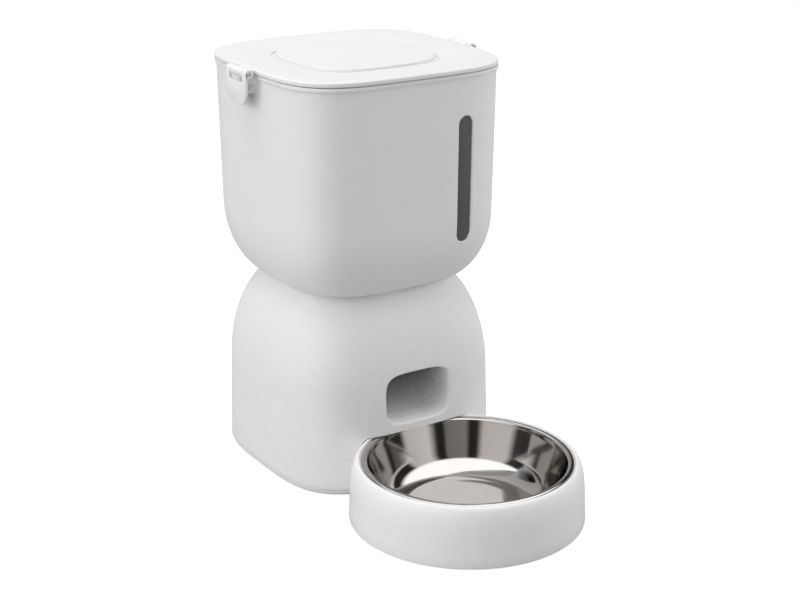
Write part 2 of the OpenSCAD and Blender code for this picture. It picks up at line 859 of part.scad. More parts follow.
module lid_seal() {
    outer = hopper_half_at(seal_z) - wall - clear;
    color([0.8, 0.8, 0.8]) tube([
        section(skirt_half + 0.05, seal_z, lid_corner),
        section(outer - 0.8, seal_z + 0.4, hopper_corner),
        section(outer, seal_z + 1.6, hopper_corner),
        section(outer - 0.8, seal_z + 2.8, hopper_corner),
        section(skirt_half + 0.05, seal_z + 3.2, lid_corner)
    ]);
}

desiccant_r = 28;
desiccant_low_z = 288;

module desiccant_box() {
    underside_z = lid_top_z - lid_edge_h;
    color(inner_white) difference() {
        translate([0, 0, desiccant_low_z]) cylinder(r = desiccant_r, h = underside_z - desiccant_low_z);
        translate([0, 0, desiccant_low_z - 1])
            cylinder(r = desiccant_r - 2, h = underside_z - desiccant_low_z - 1);
    }
}

// Bayonet cap with vent slots, turned to open
module desiccant_cap() {
    color(inner_white) translate([0, 0, desiccant_low_z - 2.3]) difference() {
        union() {
            cylinder(r = desiccant_r + 2.4, h = 2);
            difference() {
                cylinder(r = desiccant_r + 2.4, h = 7);
                translate([0, 0, 1]) cylinder(r = desiccant_r + clear, h = 10);
            }
            translate([-14, -1.2, -3]) cube([28, 2.4, 3.2]);
        }
        for (k = [0:9]) if (k%5 != 0) rotate(36*k) translate([10, -1, -1]) cube([13, 2, 5]);
    }
}

module latch_pins() {
    color(steel) for (side = [-1, 1]) translate([side*hinge_x, 0, hinge_z])
        along_y(pin_r, latch_w - 0.4);
}

// ---------- Latches ----------

// Flap outline in the hinge's plane, with rounded lower corners
module flap_outline() {
    half = latch_w/2;
    difference() {
        union() {
            translate([-half, flap_low_z + flap_corner_r])
                square([latch_w, hinge_z - flap_low_z - flap_corner_r]);
            translate([-half + flap_corner_r, flap_low_z])
                square([latch_w - 2*flap_corner_r, 20]);
            for (y = [-1, 1]) translate([y*(half - flap_corner_r), flap_low_z + flap_corner_r])
                circle(flap_corner_r);
        }
        translate([-knuckle_half - 0.4, hinge_z - 6]) square([2*knuckle_half + 0.8, 10]);
    }
}

// The left latch; the right one is its mirror image
module latch() {
    ear = latch_w/2 - knuckle_half - 0.4;
    outer_x = -hinge_x - barrel_r;
    difference() {
        union() {
            translate([outer_x, 0, 0]) rotate([90, 0, 90]) linear_extrude(flap_t) flap_outline();
            for (y = [-1, 1]) translate([-hinge_x, y*(knuckle_half + 0.4 + ear/2), hinge_z])
                along_y(barrel_r, ear);
            box([outer_x + 1, -7, catch_z - 4], [-hopper_half - 2.9, 7, catch_z - 1.6]);
            box([outer_x + 4, -7, catch_z - 2], [-hopper_half - 2.9, 7, catch_z - 0.5]);
            for (y = [-6, 6]) box([outer_x + 1, y - 0.8, catch_z - 5],
                [-hopper_half - 5, y + 0.8, catch_z - 2]);
        }
        translate([-hinge_x, 0, hinge_z]) along_y(pin_r + run, latch_w + 2);
    }
}

module latch_left() {
    color(shell_white) latch();
}

module latch_right() {
    color(shell_white) mirror([1, 0, 0]) latch();
}

// ---------- Bowl ----------

stand_low_z = 0.8;
crown_r = rim_r + 1.9;         // highest line of the stand's rolled top
crown_z = rim_z + 0.2;
side_top_z = 20;

// Quarter-ellipse points from the side wall up over the crown
function crown_arc(r, rise, steps) = [
    for (k = [0:steps])
        [crown_r + (r - crown_r)*cos(90*k/steps), side_top_z + rise*sin(90*k/steps)]
];

module bowl_stand() {
    side_r = stand_r - 0.9;
    rise = crown_z - side_top_z;
    steps = 10;
    outer = crown_arc(side_r, rise, steps);
    inner = crown_arc(side_r - 2.4, rise - 2.2, steps);
    lip_r = rim_r + 0.9;
    shelf_r = rim_r - 2.4;
    shelf_z = rim_z - 1.9;
    color(shell_white) translate([0, -bowl_forward, 0]) rotate_extrude($fn = 96) polygon(concat(
        [[stand_r - 0.8, stand_low_z], [stand_r, stand_low_z + 1]],
        outer,
        [[lip_r + 0.5, crown_z - 0.2], [lip_r, crown_z - 0.8], [lip_r, shelf_z],
         [shelf_r + 2, shelf_z], [shelf_r + 2, shelf_z - 2.2], [crown_r - 0.5, shelf_z - 2.2]],
        [for (k = [steps - 1:-1:0]) inner[k]],
        [[stand_r - 2.6, stand_low_z + 3], [stand_r - 16, stand_low_z + 3], [stand_r - 16, stand_low_z]]
    ));
}

module stand_feet() {
    color(rubber_grey) translate([0, -bowl_forward, 0])
        for (k = [0:3]) rotate(90*k + 45) translate([stand_r - 8.5, 0, 0])
            cylinder(r = 5, h = stand_low_z);
}

bowl_floor_r = 43;
bowl_floor_z = 6.2;
bowl_corner_r = 21;
bowl_slope = 20;               // of the wall, from the vertical

// Inner profile of the steel bowl: flat floor, round corner and a straight sloping wall
function bowl_wall(grow) = concat(
    [for (k = [0:8]) let (a = (90 - bowl_slope)*k/8)
        [bowl_floor_r + (bowl_corner_r + grow)*sin(a),
         bowl_floor_z + bowl_corner_r - (bowl_corner_r + grow)*cos(a)]],
    [[rim_r - 4.9 + grow, rim_z - 1.6]]
);

module steel_bowl() {
    t = 0.8;
    inside = bowl_wall(0);
    outside = bowl_wall(t);
    color(steel) translate([0, -bowl_forward, 0]) rotate_extrude($fn = 96) polygon(concat(
        [[0, bowl_floor_z - t]],
        outside,
        [[rim_r - 2.6, rim_z - 0.9], [rim_r - 1, rim_z - 1], [rim_r - 0.9, rim_z - 1.7],
         [rim_r - 0.2, rim_z - 1.7], [rim_r, rim_z - 0.9], [rim_r - 0.4, rim_z - 0.2],
         [rim_r - 1.2, rim_z], [rim_r - 3.4, rim_z - 0.1], [rim_r - 4.5, rim_z - 0.7]],
        [for (k = [len(inside) - 1:-1:0]) inside[k]],
        [[0, bowl_floor_z]]
    ));
}

base_shell();
bottom_cover();
tower_feet();
cover_screws();
rotor_housing();
outlet_baffle();
chute_duct();
gearbox_tray();
gearbox_lid();
gearbox_screws();
idler_axle();
shaft_bush();
motor_can();
battery_box();
battery_cells();
battery_contacts();
control_board();
board_parts();
wiring();
usb_port();
status_lens();
battery_door();
feed_button();
motor_shaft();
motor_pinion();
idler_gear();
output_gear();
paddle_rotor();
rotor_cap();
hopper_shell();
hopper_funnel();
window_lens();
lid_shell();
lid_seal();
desiccant_box();
desiccant_cap();
latch_pins();
latch_left();
latch_right();
bowl_stand();
stand_feet();
steel_bowl();
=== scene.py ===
"""Looks for the automatic pet feeder: smooth moulded shells, a polished bowl and soft studio light,
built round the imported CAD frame. Shapes are worked out in millimetres and added in metres."""

import json
import math

import bmesh
import bpy
import numpy as np
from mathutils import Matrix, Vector


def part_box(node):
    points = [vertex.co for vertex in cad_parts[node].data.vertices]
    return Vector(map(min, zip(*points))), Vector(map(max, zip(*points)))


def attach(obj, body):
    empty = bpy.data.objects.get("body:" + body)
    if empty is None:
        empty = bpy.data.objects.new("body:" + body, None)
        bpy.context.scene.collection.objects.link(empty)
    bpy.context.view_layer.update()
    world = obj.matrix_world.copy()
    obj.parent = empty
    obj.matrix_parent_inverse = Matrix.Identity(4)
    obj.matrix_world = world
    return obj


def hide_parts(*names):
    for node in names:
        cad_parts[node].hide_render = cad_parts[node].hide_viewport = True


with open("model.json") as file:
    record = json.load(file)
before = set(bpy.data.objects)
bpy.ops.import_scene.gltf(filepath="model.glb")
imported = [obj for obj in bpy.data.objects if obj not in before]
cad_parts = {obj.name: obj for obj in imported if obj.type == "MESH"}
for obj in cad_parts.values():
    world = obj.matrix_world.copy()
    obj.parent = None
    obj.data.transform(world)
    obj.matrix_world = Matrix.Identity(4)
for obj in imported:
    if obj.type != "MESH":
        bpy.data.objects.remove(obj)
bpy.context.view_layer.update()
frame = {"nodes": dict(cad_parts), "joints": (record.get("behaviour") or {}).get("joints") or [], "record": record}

MM = 0.001

# ---------- Driving sizes, from the frame ----------

base_low, base_high = (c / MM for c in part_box("base_shell"))
hopper_low, hopper_high = (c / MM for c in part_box("hopper_shell"))
lid_low, lid_high = (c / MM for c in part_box("lid_shell"))
duct_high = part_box("chute_duct")[1] / MM
lens_low, lens_high = (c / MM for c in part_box("window_lens"))
bowl_low, bowl_high = (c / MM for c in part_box("steel_bowl"))
stand_low, stand_high = (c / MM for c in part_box("bowl_stand"))
latch_low, latch_high = (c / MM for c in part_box("latch_right"))
joints = {j["name"]: j for j in frame["joints"]}

# Corner exponents of the superellipse sections
BASE_CORNER = 3.5
HOPPER_CORNER = 4.2
NECK_CORNER = 3.1
LID_CORNER = 3.95
PAD_CORNER = 3.1
CHUTE_CORNER = 4.2

# Side profiles of the tower: a slight draft, then an elliptical shoulder into the neck
BASE_DRAFT = 0.026
BASE_SHOULDER_Z = 76
BASE_SHOULDER = (33, 74)
HOPPER_DRAFT = 0.0143
HOPPER_SHOULDER_Z = 195.8
HOPPER_SHOULDER = (20.8, 48.8)
WALL = 2.3
DUCT_WALL = 1.6
RIM_BEAD = 1.0
NECK_HOLE_R = 53.2              # of the round hole in the base's top
FLOOR_HOLE_R = 52.6             # of the round hole in the hopper's floor
COLLAR_R = 52.4                 # of the funnel's collar, which fits it
SEAM_Z = base_low.z
NECK_Z = base_high.z
BASE_HALF = base_high.x + BASE_DRAFT * SEAM_Z
HOPPER_TOP_Z = hopper_high.z
HOPPER_HALF = hopper_high.y - RIM_BEAD
BOWL_Y = (bowl_low.y + bowl_high.y) / 2
DOCK_Z = 45.1                   # top of the recess that the bowl stand docks into
STAND_R = stand_high.x
CROWN_R = bowl_high.x + 1.9
STAND_SIDE_Z = 20
BOWL_FLOOR_R = 43
BOWL_CORNER = 21
BOWL_SLOPE = 20                 # of the wall, from the vertical


def draw_in(past, ellipse):
    """How far an elliptical shoulder has drawn in at a distance past its start."""
    return ellipse[0] * (1 - math.sqrt(max(0.0, 1 - (max(past, 0.0) / ellipse[1]) ** 2)))


def base_half_at(z):
    return BASE_HALF - BASE_DRAFT * z - draw_in(z - BASE_SHOULDER_Z, BASE_SHOULDER)


def hopper_half_at(z):
    return (HOPPER_HALF - HOPPER_DRAFT * (HOPPER_TOP_Z - z)
            - draw_in(HOPPER_SHOULDER_Z - z, HOPPER_SHOULDER))


def corner_at(z, start_z, corner):
    """The corner exponent of a shell, which grows rounder towards the neck."""
    f = min(1.0, max(0.0, (z - start_z) / (NECK_Z - start_z)))
    return corner + (NECK_CORNER - corner) * f * f


def base_corner_at(z):
    return corner_at(z, BASE_SHOULDER_Z, BASE_CORNER)


def hopper_corner_at(z):
    return corner_at(z, HOPPER_SHOULDER_Z, HOPPER_CORNER)


def dock_r_at(z, grow):
    """The radius of the recess that the bowl stand docks into, which follows the stand's crown."""
    side = STAND_R + 0.5 + grow
    if z <= STAND_SIDE_Z:
        return side + (STAND_SIDE_Z - z) / (STAND_SIDE_Z + 1)
    climb = min(1.0, (z - STAND_SIDE_Z) / (DOCK_Z + grow - STAND_SIDE_Z))
    return CROWN_R + (side - CROWN_R) * math.sqrt(1 - climb ** 2)


# ---------- Superellipse sections ----------

def signed_pow(v, p):
    return np.sign(v) * np.abs(v) ** p


def unit_arc(power, start, end, count):
    """Points evenly spaced along a unit superellipse between two angles of its parameter."""
    t = np.linspace(start, end, 6001)
    curve = np.stack([signed_pow(np.cos(t), 2 / power), signed_pow(np.sin(t), 2 / power)], 1)
    run = np.concatenate([[0], np.cumsum(np.linalg.norm(np.diff(curve, axis=0), axis=1))])
    want = np.linspace(0, run[-1], count + 1)
    return np.stack([np.interp(want, run, curve[:, k]) for k in (0, 1)], 1)[:-1]


def unit_ring(power, front, front_count, rest_count):
    """A unit section whose first points run evenly across the front, from x = -front to front."""
    x = np.linspace(-front, front, front_count + 1)[:-1]
    across = np.stack([x, -(1 - np.abs(x) ** power) ** (1 / power)], 1)
    y = (1 - front ** power) ** (1 / power)
    start = -math.atan2(y ** (power / 2), front ** (power / 2))
    return np.concatenate([across, unit_arc(power, start, math.pi - start, rest_count)])


def section_y(x, half, power):
    """How far a superellipse section stands out at x."""
    return half * (1 - min(abs(x / half), 1.0) ** power) ** (1 / power)


class Wall:
    """A shell's outer wall: its half-width and corner exponent at each height."""

    def __init__(self, half_at, power_at):
        self.half_at, self.power_at = half_at, power_at

    def y(self, x, z, side, inset=0.0):
        return side * section_y(x, self.half_at(z) - inset, self.power_at(z))


BASE_WALL = Wall(base_half_at, base_corner_at)
HOPPER_WALL = Wall(hopper_half_at, hopper_corner_at)


def spaced(low, high, count):
    """count values evenly from low up to, but not including, high."""
    return [low + (high - low) * k / count for k in range(count)]


def at_height(flat, z):
    """A flat ring of (x, y) points, raised to one height."""
    return np.column_stack([flat, np.full(len(flat), z)])


# ---------- Meshes ----------

def add_piece(name, points, faces, body, slot, *, material=None, sharp=35):
    """Makes an object from points in millimetres, smooth except at edges sharper than an angle.

    It takes its slot's material, unless another is given.
    """
    mesh = bpy.data.meshes.new(name)
    mesh.from_pydata([tuple(c * MM for c in p) for p in points], [], [list(f) for f in faces])
    work = bmesh.new()
    work.from_mesh(mesh)
    bmesh.ops.remove_doubles(work, verts=work.verts, dist=1e-7)
    bmesh.ops.recalc_face_normals(work, faces=work.faces)
    limit = math.radians(sharp)
    for edge in work.edges:
        edge.smooth = len(edge.link_faces) == 2 and edge.calc_face_angle(0) < limit
    for face in work.faces:
        face.smooth = True
    work.to_mesh(mesh)
    work.free()
    mesh.materials.append(material or MATERIALS[slot])
    piece = bpy.data.objects.new(name, mesh)
    bpy.context.scene.collection.objects.link(piece)
    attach(piece, body)
    return piece


def close_shell(outer, inner, faces):
    """The wall between two skins that share their faces, with a rim along every open edge."""
    seen, index, kept = {}, [], []
    for n, p in enumerate(outer):
        key = tuple(round(float(c), 5) for c in p)
        if key not in seen:
            seen[key] = len(kept)
            kept.append(n)
        index.append(seen[key])
    clean = []
    for face in faces:
        loop = [index[v] for v in face]
        loop = [v for k, v in enumerate(loop) if v != loop[k - 1]]
        if len(set(loop)) >= 3:
            clean.append(loop)
    directed = {(f[k - 1], f[k]) for f in clean for k in range(len(f))}
    count = len(kept)
    rims = [[b, a, a + count, b + count] for a, b in directed if (b, a) not in directed]
    back = [[v + count for v in reversed(f)] for f in clean]
    points = [outer[n] for n in kept] + [inner[n] for n in kept]
    return points, clean + back + rims


def ring_faces(first, count, second):
    """Quads between two closed rings of points, given by the numbers of their first points."""
    return [(first + i, first + (i + 1) % count, second + (i + 1) % count, second + i)
            for i in range(count)]


def run_faces(first, count, number):
    """Quads along a run of closed rings, whose points follow one another from first."""
    faces = []
    for j in range(number - 1):
        faces += ring_faces(first + j * count, count, first + (j + 1) * count)
    return faces


def loft(rings, cap_ends=True):
    """A skin over closed rings of equal length; its ends close onto their middles or stay open."""
    count = len(rings[0])
    points = [tuple(p) for ring in rings for p in ring]
    faces = run_faces(0, count, len(rings))
    if cap_ends:
        for first, flip in ((0, True), ((len(rings) - 1) * count, False)):
            hub = len(points)
            points.append(tuple(np.mean(points[first:first + count], axis=0)))
            for i in range(count):
                a, b = first + i, first + (i + 1) % count
                faces.append((b, a, hub) if flip else (a, b, hub))
    return points, faces


def turned(profile, count, placed):
    """A body turned from a closed profile of (radius, distance along the axis) points."""
    points, faces = [], []
    for r, along in profile:
        for i in range(count):
            a = 2 * math.pi * i / count
            points.append(placed(r * math.cos(a), r * math.sin(a), along))
    for j in range(len(profile)):
        faces += ring_faces(j * count, count, (j + 1) % len(profile) * count)
    return points, faces


def turned_upright(profile, centre, count=256):
    return turned(profile, count, lambda u, v, z: (centre[0] + u, centre[1] + v, z))


def arc(centre, radius, start, end, steps):
    """Points on a circular or elliptical arc, in degrees, both ends included."""
    rx, ry = radius if isinstance(radius, tuple) else (radius, radius)
    angles = [math.radians(start + (end - start) * k / steps) for k in range(steps + 1)]
    return [(centre[0] + rx * math.cos(a), centre[1] + ry * math.sin(a)) for a in angles]


# ---------- Openings in a wall ----------

BRIDGE_STEPS = (0, 0.22, 0.44, 0.66, 0.85)      # from the rectangle round a hole to its edge
EDGE_STEPS = (0, 15, 30, 45, 60, 75, 90)        # degrees round the edge
LIP_STEPS = (0.25, 0.5, 0.75, 1)                # from the edge to the joint plane
INNER_EDGE = 0.3                                # radius of the edge on a wall's inner skin


class Opening:
    """A hole through the front or the back of a wall, with a rounded edge.

    Its outline is a superellipse, or a slot with round ends where power is None. The edge's radius
    is worked out from the direction it faces. lip is how far the inner skin keeps back from the
    hole. A joint is a plane's y and an outline in it, half size and centre, that the hole runs on to.
    """

    def __init__(self, side, centre, half, power, columns, rows, edge, joint=None, lip=DUCT_WALL):
        self.side, self.centre, self.half, self.power = side, centre, half, power
        self.columns, self.rows, self.edge = columns, rows, edge
        self.joint, self.lip = joint, lip

    def outline(self, u, v):
        """The outline's point that faces a point of the surrounding rectangle's unit square."""
        a, b = self.half
        if self.power is not None:
            m = (abs(u) ** self.power + abs(v) ** self.power) ** (1 / self.power)
            return a * u / m, b * v / m
        straight, bend = b - a, 0.75
        if abs(u) >= abs(v):
            turn = max(0.0, abs(v) - bend) / (1 - bend) * math.pi / 4
            z = min(abs(v) / bend, 1.0) * straight + a * math.sin(turn)
            return math.copysign(a * math.cos(turn), u), math.copysign(z, v)
        turn = math.pi / 2 - u * math.pi / 4
        return a * math.cos(turn), math.copysign(straight + a * math.sin(turn), v)


def outward_normals(loop):
    """Normals in the plane of a closed anticlockwise loop, pointing away from its inside."""
    ahead, behind = np.roll(loop, -1, axis=0), np.roll(loop, 1, axis=0)
    tangent = ahead - behind
    tangent /= np.linalg.norm(tangent, axis=1)[:, None]
    return np.stack([tangent[:, 1], -tangent[:, 0]], 1)


def bridge_opening(grid, hole, wall, inset, points, faces):
    """Fills the rectangle round a hole with rings that close in on its outline, then its lip."""
    (c0, c1), (r0, r1) = hole.columns, hole.rows
    wide = grid.shape[1]
    border = ([(r0, c) for c in range(c0, c1)] + [(r, c1) for r in range(r0, r1)]
              + [(r1, c) for c in range(c1, c0, -1)] + [(r, c0) for r in range(r1, r0, -1)])
    edge3 = np.array([grid[r, c % wide] for r, c in border])
    mirror = -1 if hole.side > 0 else 1
    flat = edge3[:, [0, 2]] * (mirror, 1)
    centre = np.array([mirror * hole.centre[0], hole.centre[1]])
    spread = np.abs(flat - centre).max(axis=0)
    unit = np.clip((flat - centre) / spread, -1, 1)
    loop = np.array([hole.outline(u, v) for u, v in unit]) + centre
    normals = outward_normals(loop)
    if inset > 0:
        loop = loop + normals * hole.lip
    radius = np.array([hole.edge(n) if inset == 0 else INNER_EDGE for n in normals])[:, None]
    start = loop + normals * radius
    rings = [(flat * (1 - s) + start * s, 0.0, None) for s in BRIDGE_STEPS]
    for degrees in EDGE_STEPS:
        a = math.radians(degrees)
        rings.append((loop + normals * radius * (1 - math.sin(a)), radius * (1 - math.cos(a)), None))
    if hole.joint:
        plane_y, joint_half, joint_centre = hole.joint
        far = np.array([hole.outline(u, v) for u, v in unit])
        far = far / hole.half * joint_half + joint_centre
        if inset > 0:
            far = far + outward_normals(far) * hole.lip
        for s in LIP_STEPS:
            rings.append((loop * (1 - s) + far * s, radius, (s, plane_y)))
    else:
        rings.append((loop, WALL, None))
    count = len(border)
    first = len(points)
    for flat_ring, depth, towards in rings:
        depth = np.broadcast_to(np.asarray(depth, float), (count, 1))
        for k in range(count):
            x, z = flat_ring[k]
            y = wall.y(x, z, hole.side, inset)
            if inset == 0:
                y -= hole.side * depth[k, 0]
            elif not hole.joint:
                y -= hole.side * min(depth[k, 0], INNER_EDGE)
            if towards:
                y = y * (1 - towards[0]) + towards[1] * towards[0]
            points.append((mirror * x, y, z))
    points[first:first + count] = [tuple(p) for p in edge3]
    faces += run_faces(first, count, len(rings))


def wall_faces(grid_rows, wide, skipped):
    """The quads of a closed wall grid, without those that an opening or a recess takes."""
    faces = []
    for j in range(grid_rows - 1):
        for i in range(wide):
            if not any(r0 <= j < r1 and c0 <= i < c1 for (c0, c1), (r0, r1) in skipped):
                a, b = j * wide + i, j * wide + (i + 1) % wide
                faces.append((a, b, b + wide, a + wide))
    return faces


def plate_rings(edge_ring, radius, z, steps):
    """Rings that lead from a section's edge in to a round hole, at one height."""
    edge = np.array(edge_ring)[:, :2]
    hole = edge / np.linalg.norm(edge, axis=1)[:, None] * radius
    return [at_height(edge * (1 - k / steps) + hole * (k / steps), z) for k in range(1, steps + 1)]


# ---------- Base ----------

FRONT = 48                      # columns across a wall's front
BASE_REST = 168
BASE_WIDE = FRONT + BASE_REST
SIDE_ROWS, CROWN_ROWS, MID_ROWS, HIGH_ROWS = 3, 9, 12, 16
EDGE_ROWS = ((0, 0.45), (0.15, 0.15), (0.5, 0))     # rise and tuck of the rounded lower edge
MID_TOP_Z = 97
CHUTE_HALF_W = duct_high.x - DUCT_WALL
CHUTE_LOW_Z = 51
CHUTE_HIGH_Z = 89.5
CHUTE_EDGE = (0.7, 2.2, 0.6)    # the mouth's edge radius, and how much it grows right and below
JOINT_Y = -79                   # the lip of the mouth meets the duct here
CHUTE_FLOOR = ((JOINT_Y, CHUTE_LOW_Z + 0.9), (-48, 60.5), (-28.5, duct_high.z - 0.1))
CHUTE_ROOF = ((JOINT_Y, CHUTE_HIGH_Z), (-60, 91), (-52.5, duct_high.z - 0.1))
DUCT_POINTS = 96                # round a section of the duct
PORT_HOLE = (4.9, 1.9)          # half sizes of the holes in the back
BUTTON_HOLE = (6.3, 6.3)
LIGHT_HOLE = (1.6, 1.6)
PLATE_STEPS = 5                 # rings from a section's edge to the round hole in it
DOCK_ROW = len(EDGE_ROWS) + SIDE_ROWS + CROWN_ROWS
MID_ROW = DOCK_ROW + MID_ROWS
BACK = FRONT + BASE_REST // 2   # the column in the middle of the back


def chute_edge(normal):
    """The mouth's edge is crisp at the top and left, and softer at the right and below."""
    crisp, more_right, more_below = CHUTE_EDGE
    right, below = max(0.0, normal[0]), max(0.0, -normal[1])
    return crisp + more_right * right ** 2 + more_below * below ** 2


def even_edge(radius):
    """An edge of one radius all round."""
    return lambda normal: radius


def dock_corner(half, power, radius):
    """Where a wall of the base meets the round recess that the bowl stand docks into."""
    low, high = 20.0, 80.0
    for _ in range(50):
        x = (low + high) / 2
        reach = math.hypot(x, -section_y(x, half, power) - BOWL_Y)
        low, high = (low, x) if reach > radius else (x, high)
    return low


def base_rows(inset):
    rows = [(SEAM_Z + rise, base_half_at(SEAM_Z) - inset - (tuck if inset == 0 else 0))
            for rise, tuck in EDGE_ROWS]
    last_rise = EDGE_ROWS[-1][0]
    heights = spaced(SEAM_Z + last_rise + 3, STAND_SIDE_Z, SIDE_ROWS)
    climb = DOCK_Z + inset - STAND_SIDE_Z
    heights += [STAND_SIDE_Z + climb * math.sin(math.pi / 2 * k / CROWN_ROWS) for k in range(CROWN_ROWS)]
    heights += spaced(DOCK_Z + inset, MID_TOP_Z, MID_ROWS)
    reach = BASE_SHOULDER[1]
    turns = [math.asin((z - BASE_SHOULDER_Z) / reach) for z in (MID_TOP_Z, NECK_Z - inset)]
    heights += [BASE_SHOULDER_Z + reach * math.sin(turns[0] + (turns[1] - turns[0]) * k / HIGH_ROWS)
                for k in range(HIGH_ROWS + 1)]
    return rows + [(z, base_half_at(z) - inset) for z in heights]


def base_skin(inset, openings):
    rows = base_rows(inset)
    grid = np.zeros((len(rows), BASE_WIDE, 3))
    for j, (z, half) in enumerate(rows):
        if j <= DOCK_ROW:       # the rows above keep the recess's last front
            front = dock_corner(half, base_corner_at(z), dock_r_at(z, inset)) / half
        grid[j] = at_height(unit_ring(base_corner_at(z), front, FRONT, BASE_REST) * half, z)
    points = [tuple(p) for p in grid.reshape(-1, 3)]
    recess = ((0, FRONT), (0, DOCK_ROW))
    faces = wall_faces(len(rows), BASE_WIDE, [recess] + [(o.columns, o.rows) for o in openings])
    for hole in openings:
        bridge_opening(grid, hole, BASE_WALL, inset, points, faces)
    add_dock(grid, inset, points, faces)
    top = [grid[-1]] + plate_rings(grid[-1], NECK_HOLE_R, rows[-1][0], PLATE_STEPS)
    faces += run_faces(len(points), BASE_WIDE, len(top))
    points += [tuple(p) for ring in top for p in ring]
    return points, faces


def add_dock(grid, inset, points, faces):
    """The recess's ceiling and its round back wall."""
    def arc_point(x, z):
        return x, BOWL_Y + math.sqrt(dock_r_at(z, inset) ** 2 - x ** 2), z

    def strip(lines):
        first = len(points)
        wide = FRONT + 1
        points.extend(tuple(p) for line in lines for p in line)
        for j in range(len(lines) - 1):
            for i in range(FRONT):
                a = first + j * wide + i
                faces.append((a, a + wide, a + wide + 1, a + 1))

    front = [tuple(grid[DOCK_ROW, i]) for i in range(FRONT + 1)]
    back = [arc_point(x, z) for x, _, z in front]
    steps = 6
    strip([[tuple(np.array(a) * (1 - k / steps) + np.array(b) * (k / steps))
            for a, b in zip(front, back)] for k in range(steps + 1)])
    levels = []
    for j in range(DOCK_ROW, -1, -1):
        side = grid[j, FRONT, 0]
        levels.append([arc_point(-side + 2 * side * i / FRONT, grid[j, 0, 2])
                       for i in range(FRONT + 1)])
    strip(levels)


def duct_line(line, t):
    """A point of the curve that three (y, z) points lead, at t from 0 to 1."""
    p = [np.array(q, float) for q in line]
    return (1 - t) ** 2 * p[0] + 2 * t * (1 - t) * p[1] + t * t * p[2]


def duct_section(t, grow):
    low, high = duct_line(CHUTE_FLOOR, t), duct_line(CHUTE_ROOF, t)
    middle, up = (low + high) / 2, (high - low) / np.linalg.norm(high - low)
    half = (CHUTE_HALF_W + grow, np.linalg.norm(high - low) / 2 + grow)
    flat = unit_arc(CHUTE_CORNER, 0, 2 * math.pi, DUCT_POINTS) * half
    return [(x, middle[0] + up[0] * v, middle[1] + up[1] * v) for x, v in flat]


def base_openings():
    mouth_half = (CHUTE_HALF_W, (CHUTE_HIGH_Z - CHUTE_LOW_Z) / 2)
    mouth_middle = (0, (CHUTE_HIGH_Z + CHUTE_LOW_Z) / 2)
    joint_low, joint_high = duct_line(CHUTE_FLOOR, 0)[1], duct_line(CHUTE_ROOF, 0)[1]
    joint = (JOINT_Y, (CHUTE_HALF_W, (joint_high - joint_low) / 2), (0, (joint_high + joint_low) / 2))
    chute = Opening(-1, mouth_middle, mouth_half, CHUTE_CORNER, (4, 44), (DOCK_ROW, MID_ROW),
                    chute_edge, joint)
    port = (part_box("usb_port")[0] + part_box("usb_port")[1]) / 2 / MM
    button = (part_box("feed_button")[0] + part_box("feed_button")[1]) / 2 / MM
    light = (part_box("status_lens")[0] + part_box("status_lens")[1]) / 2 / MM
    low = len(EDGE_ROWS)
    crisp = even_edge(0.5)
    return [
        chute,
        Opening(1, (0, port.z), PORT_HOLE, 4, (BACK - 4, BACK + 4), (low + 3, low + 7), crisp),
        Opening(1, (0, button.z), BUTTON_HOLE, 2, (BACK - 5, BACK + 5),
                (DOCK_ROW - 4, DOCK_ROW + 2), crisp),
        Opening(1, (0, light.z), LIGHT_HOLE, 2, (BACK - 2, BACK + 2),
                (DOCK_ROW + 3, DOCK_ROW + 5), crisp),
    ]


def base_pieces():
    openings = base_openings()
    outer, faces = base_skin(0, openings)
    inner, _ = base_skin(WALL, openings)
    points, faces = close_shell(outer, inner, faces)
    shell = add_piece("base_moulding", points, faces, "base", "textured_shell")
    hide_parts("base_shell")
    steps = 24
    rings = [duct_section(k / steps, 0) for k in range(steps + 1)]
    rings += [duct_section(k / steps, DUCT_WALL) for k in range(steps, -1, -1)]
    points, faces = loft(rings + rings[:1], cap_ends=False)
    # the duct's colour carries painted shade, darker further inward
    duct = add_piece("chute_moulding", points, faces, "base", "textured_shell", material=DUCT_PLASTIC_PAINTED_SHADE)
    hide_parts("chute_duct")


# ---------- Hopper ----------

HOPPER_REST = 152
HOPPER_WIDE = FRONT + HOPPER_REST
HOPPER_FRONT = 60 / 87          # share of the half-width that the front's columns cover
LOW_Z, WINDOW_ROWS_Z, HIGH_Z = hopper_low.z, (174, 283), 301.5
WINDOW_X = (lens_low.x + lens_high.x) / 2
WINDOW_Z = (lens_low.z + lens_high.z) / 2
WINDOW_GAP = 0.15
WINDOW_HALF = ((lens_high.x - lens_low.x) / 2 + WINDOW_GAP, (lens_high.z - lens_low.z) / 2 + WINDOW_GAP)
WINDOW_EDGE = 0.9
LENS_GAP = 0.1
LENS_RINGS = ((0.3, WALL), (0, WALL - 0.3), (0, 1.5), (0.3, 1.15), (1.1, 0.8))  # shrink and depth
SHOULDER_ROWS, WINDOW_ROWS = 16, 24
LIP_ROWS = ((0, 1.1), (0.12, 0.45), (0.5, 0.05))   # rise and tuck of the lower lip
RIB_RISE = 8.4                  # of the catch rib above the latch's lower end
RIB_HALF = 8
BEAD_ROWS = ((-4.2, 0), (-3.5, 0.05), (-3.0, 0.35), (-2.7, 0.85), (-2.3, 1), (-0.6, 1),
             (-0.2, 0.85), (0, 0.45))              # drop from the rim and stand-out of its bead


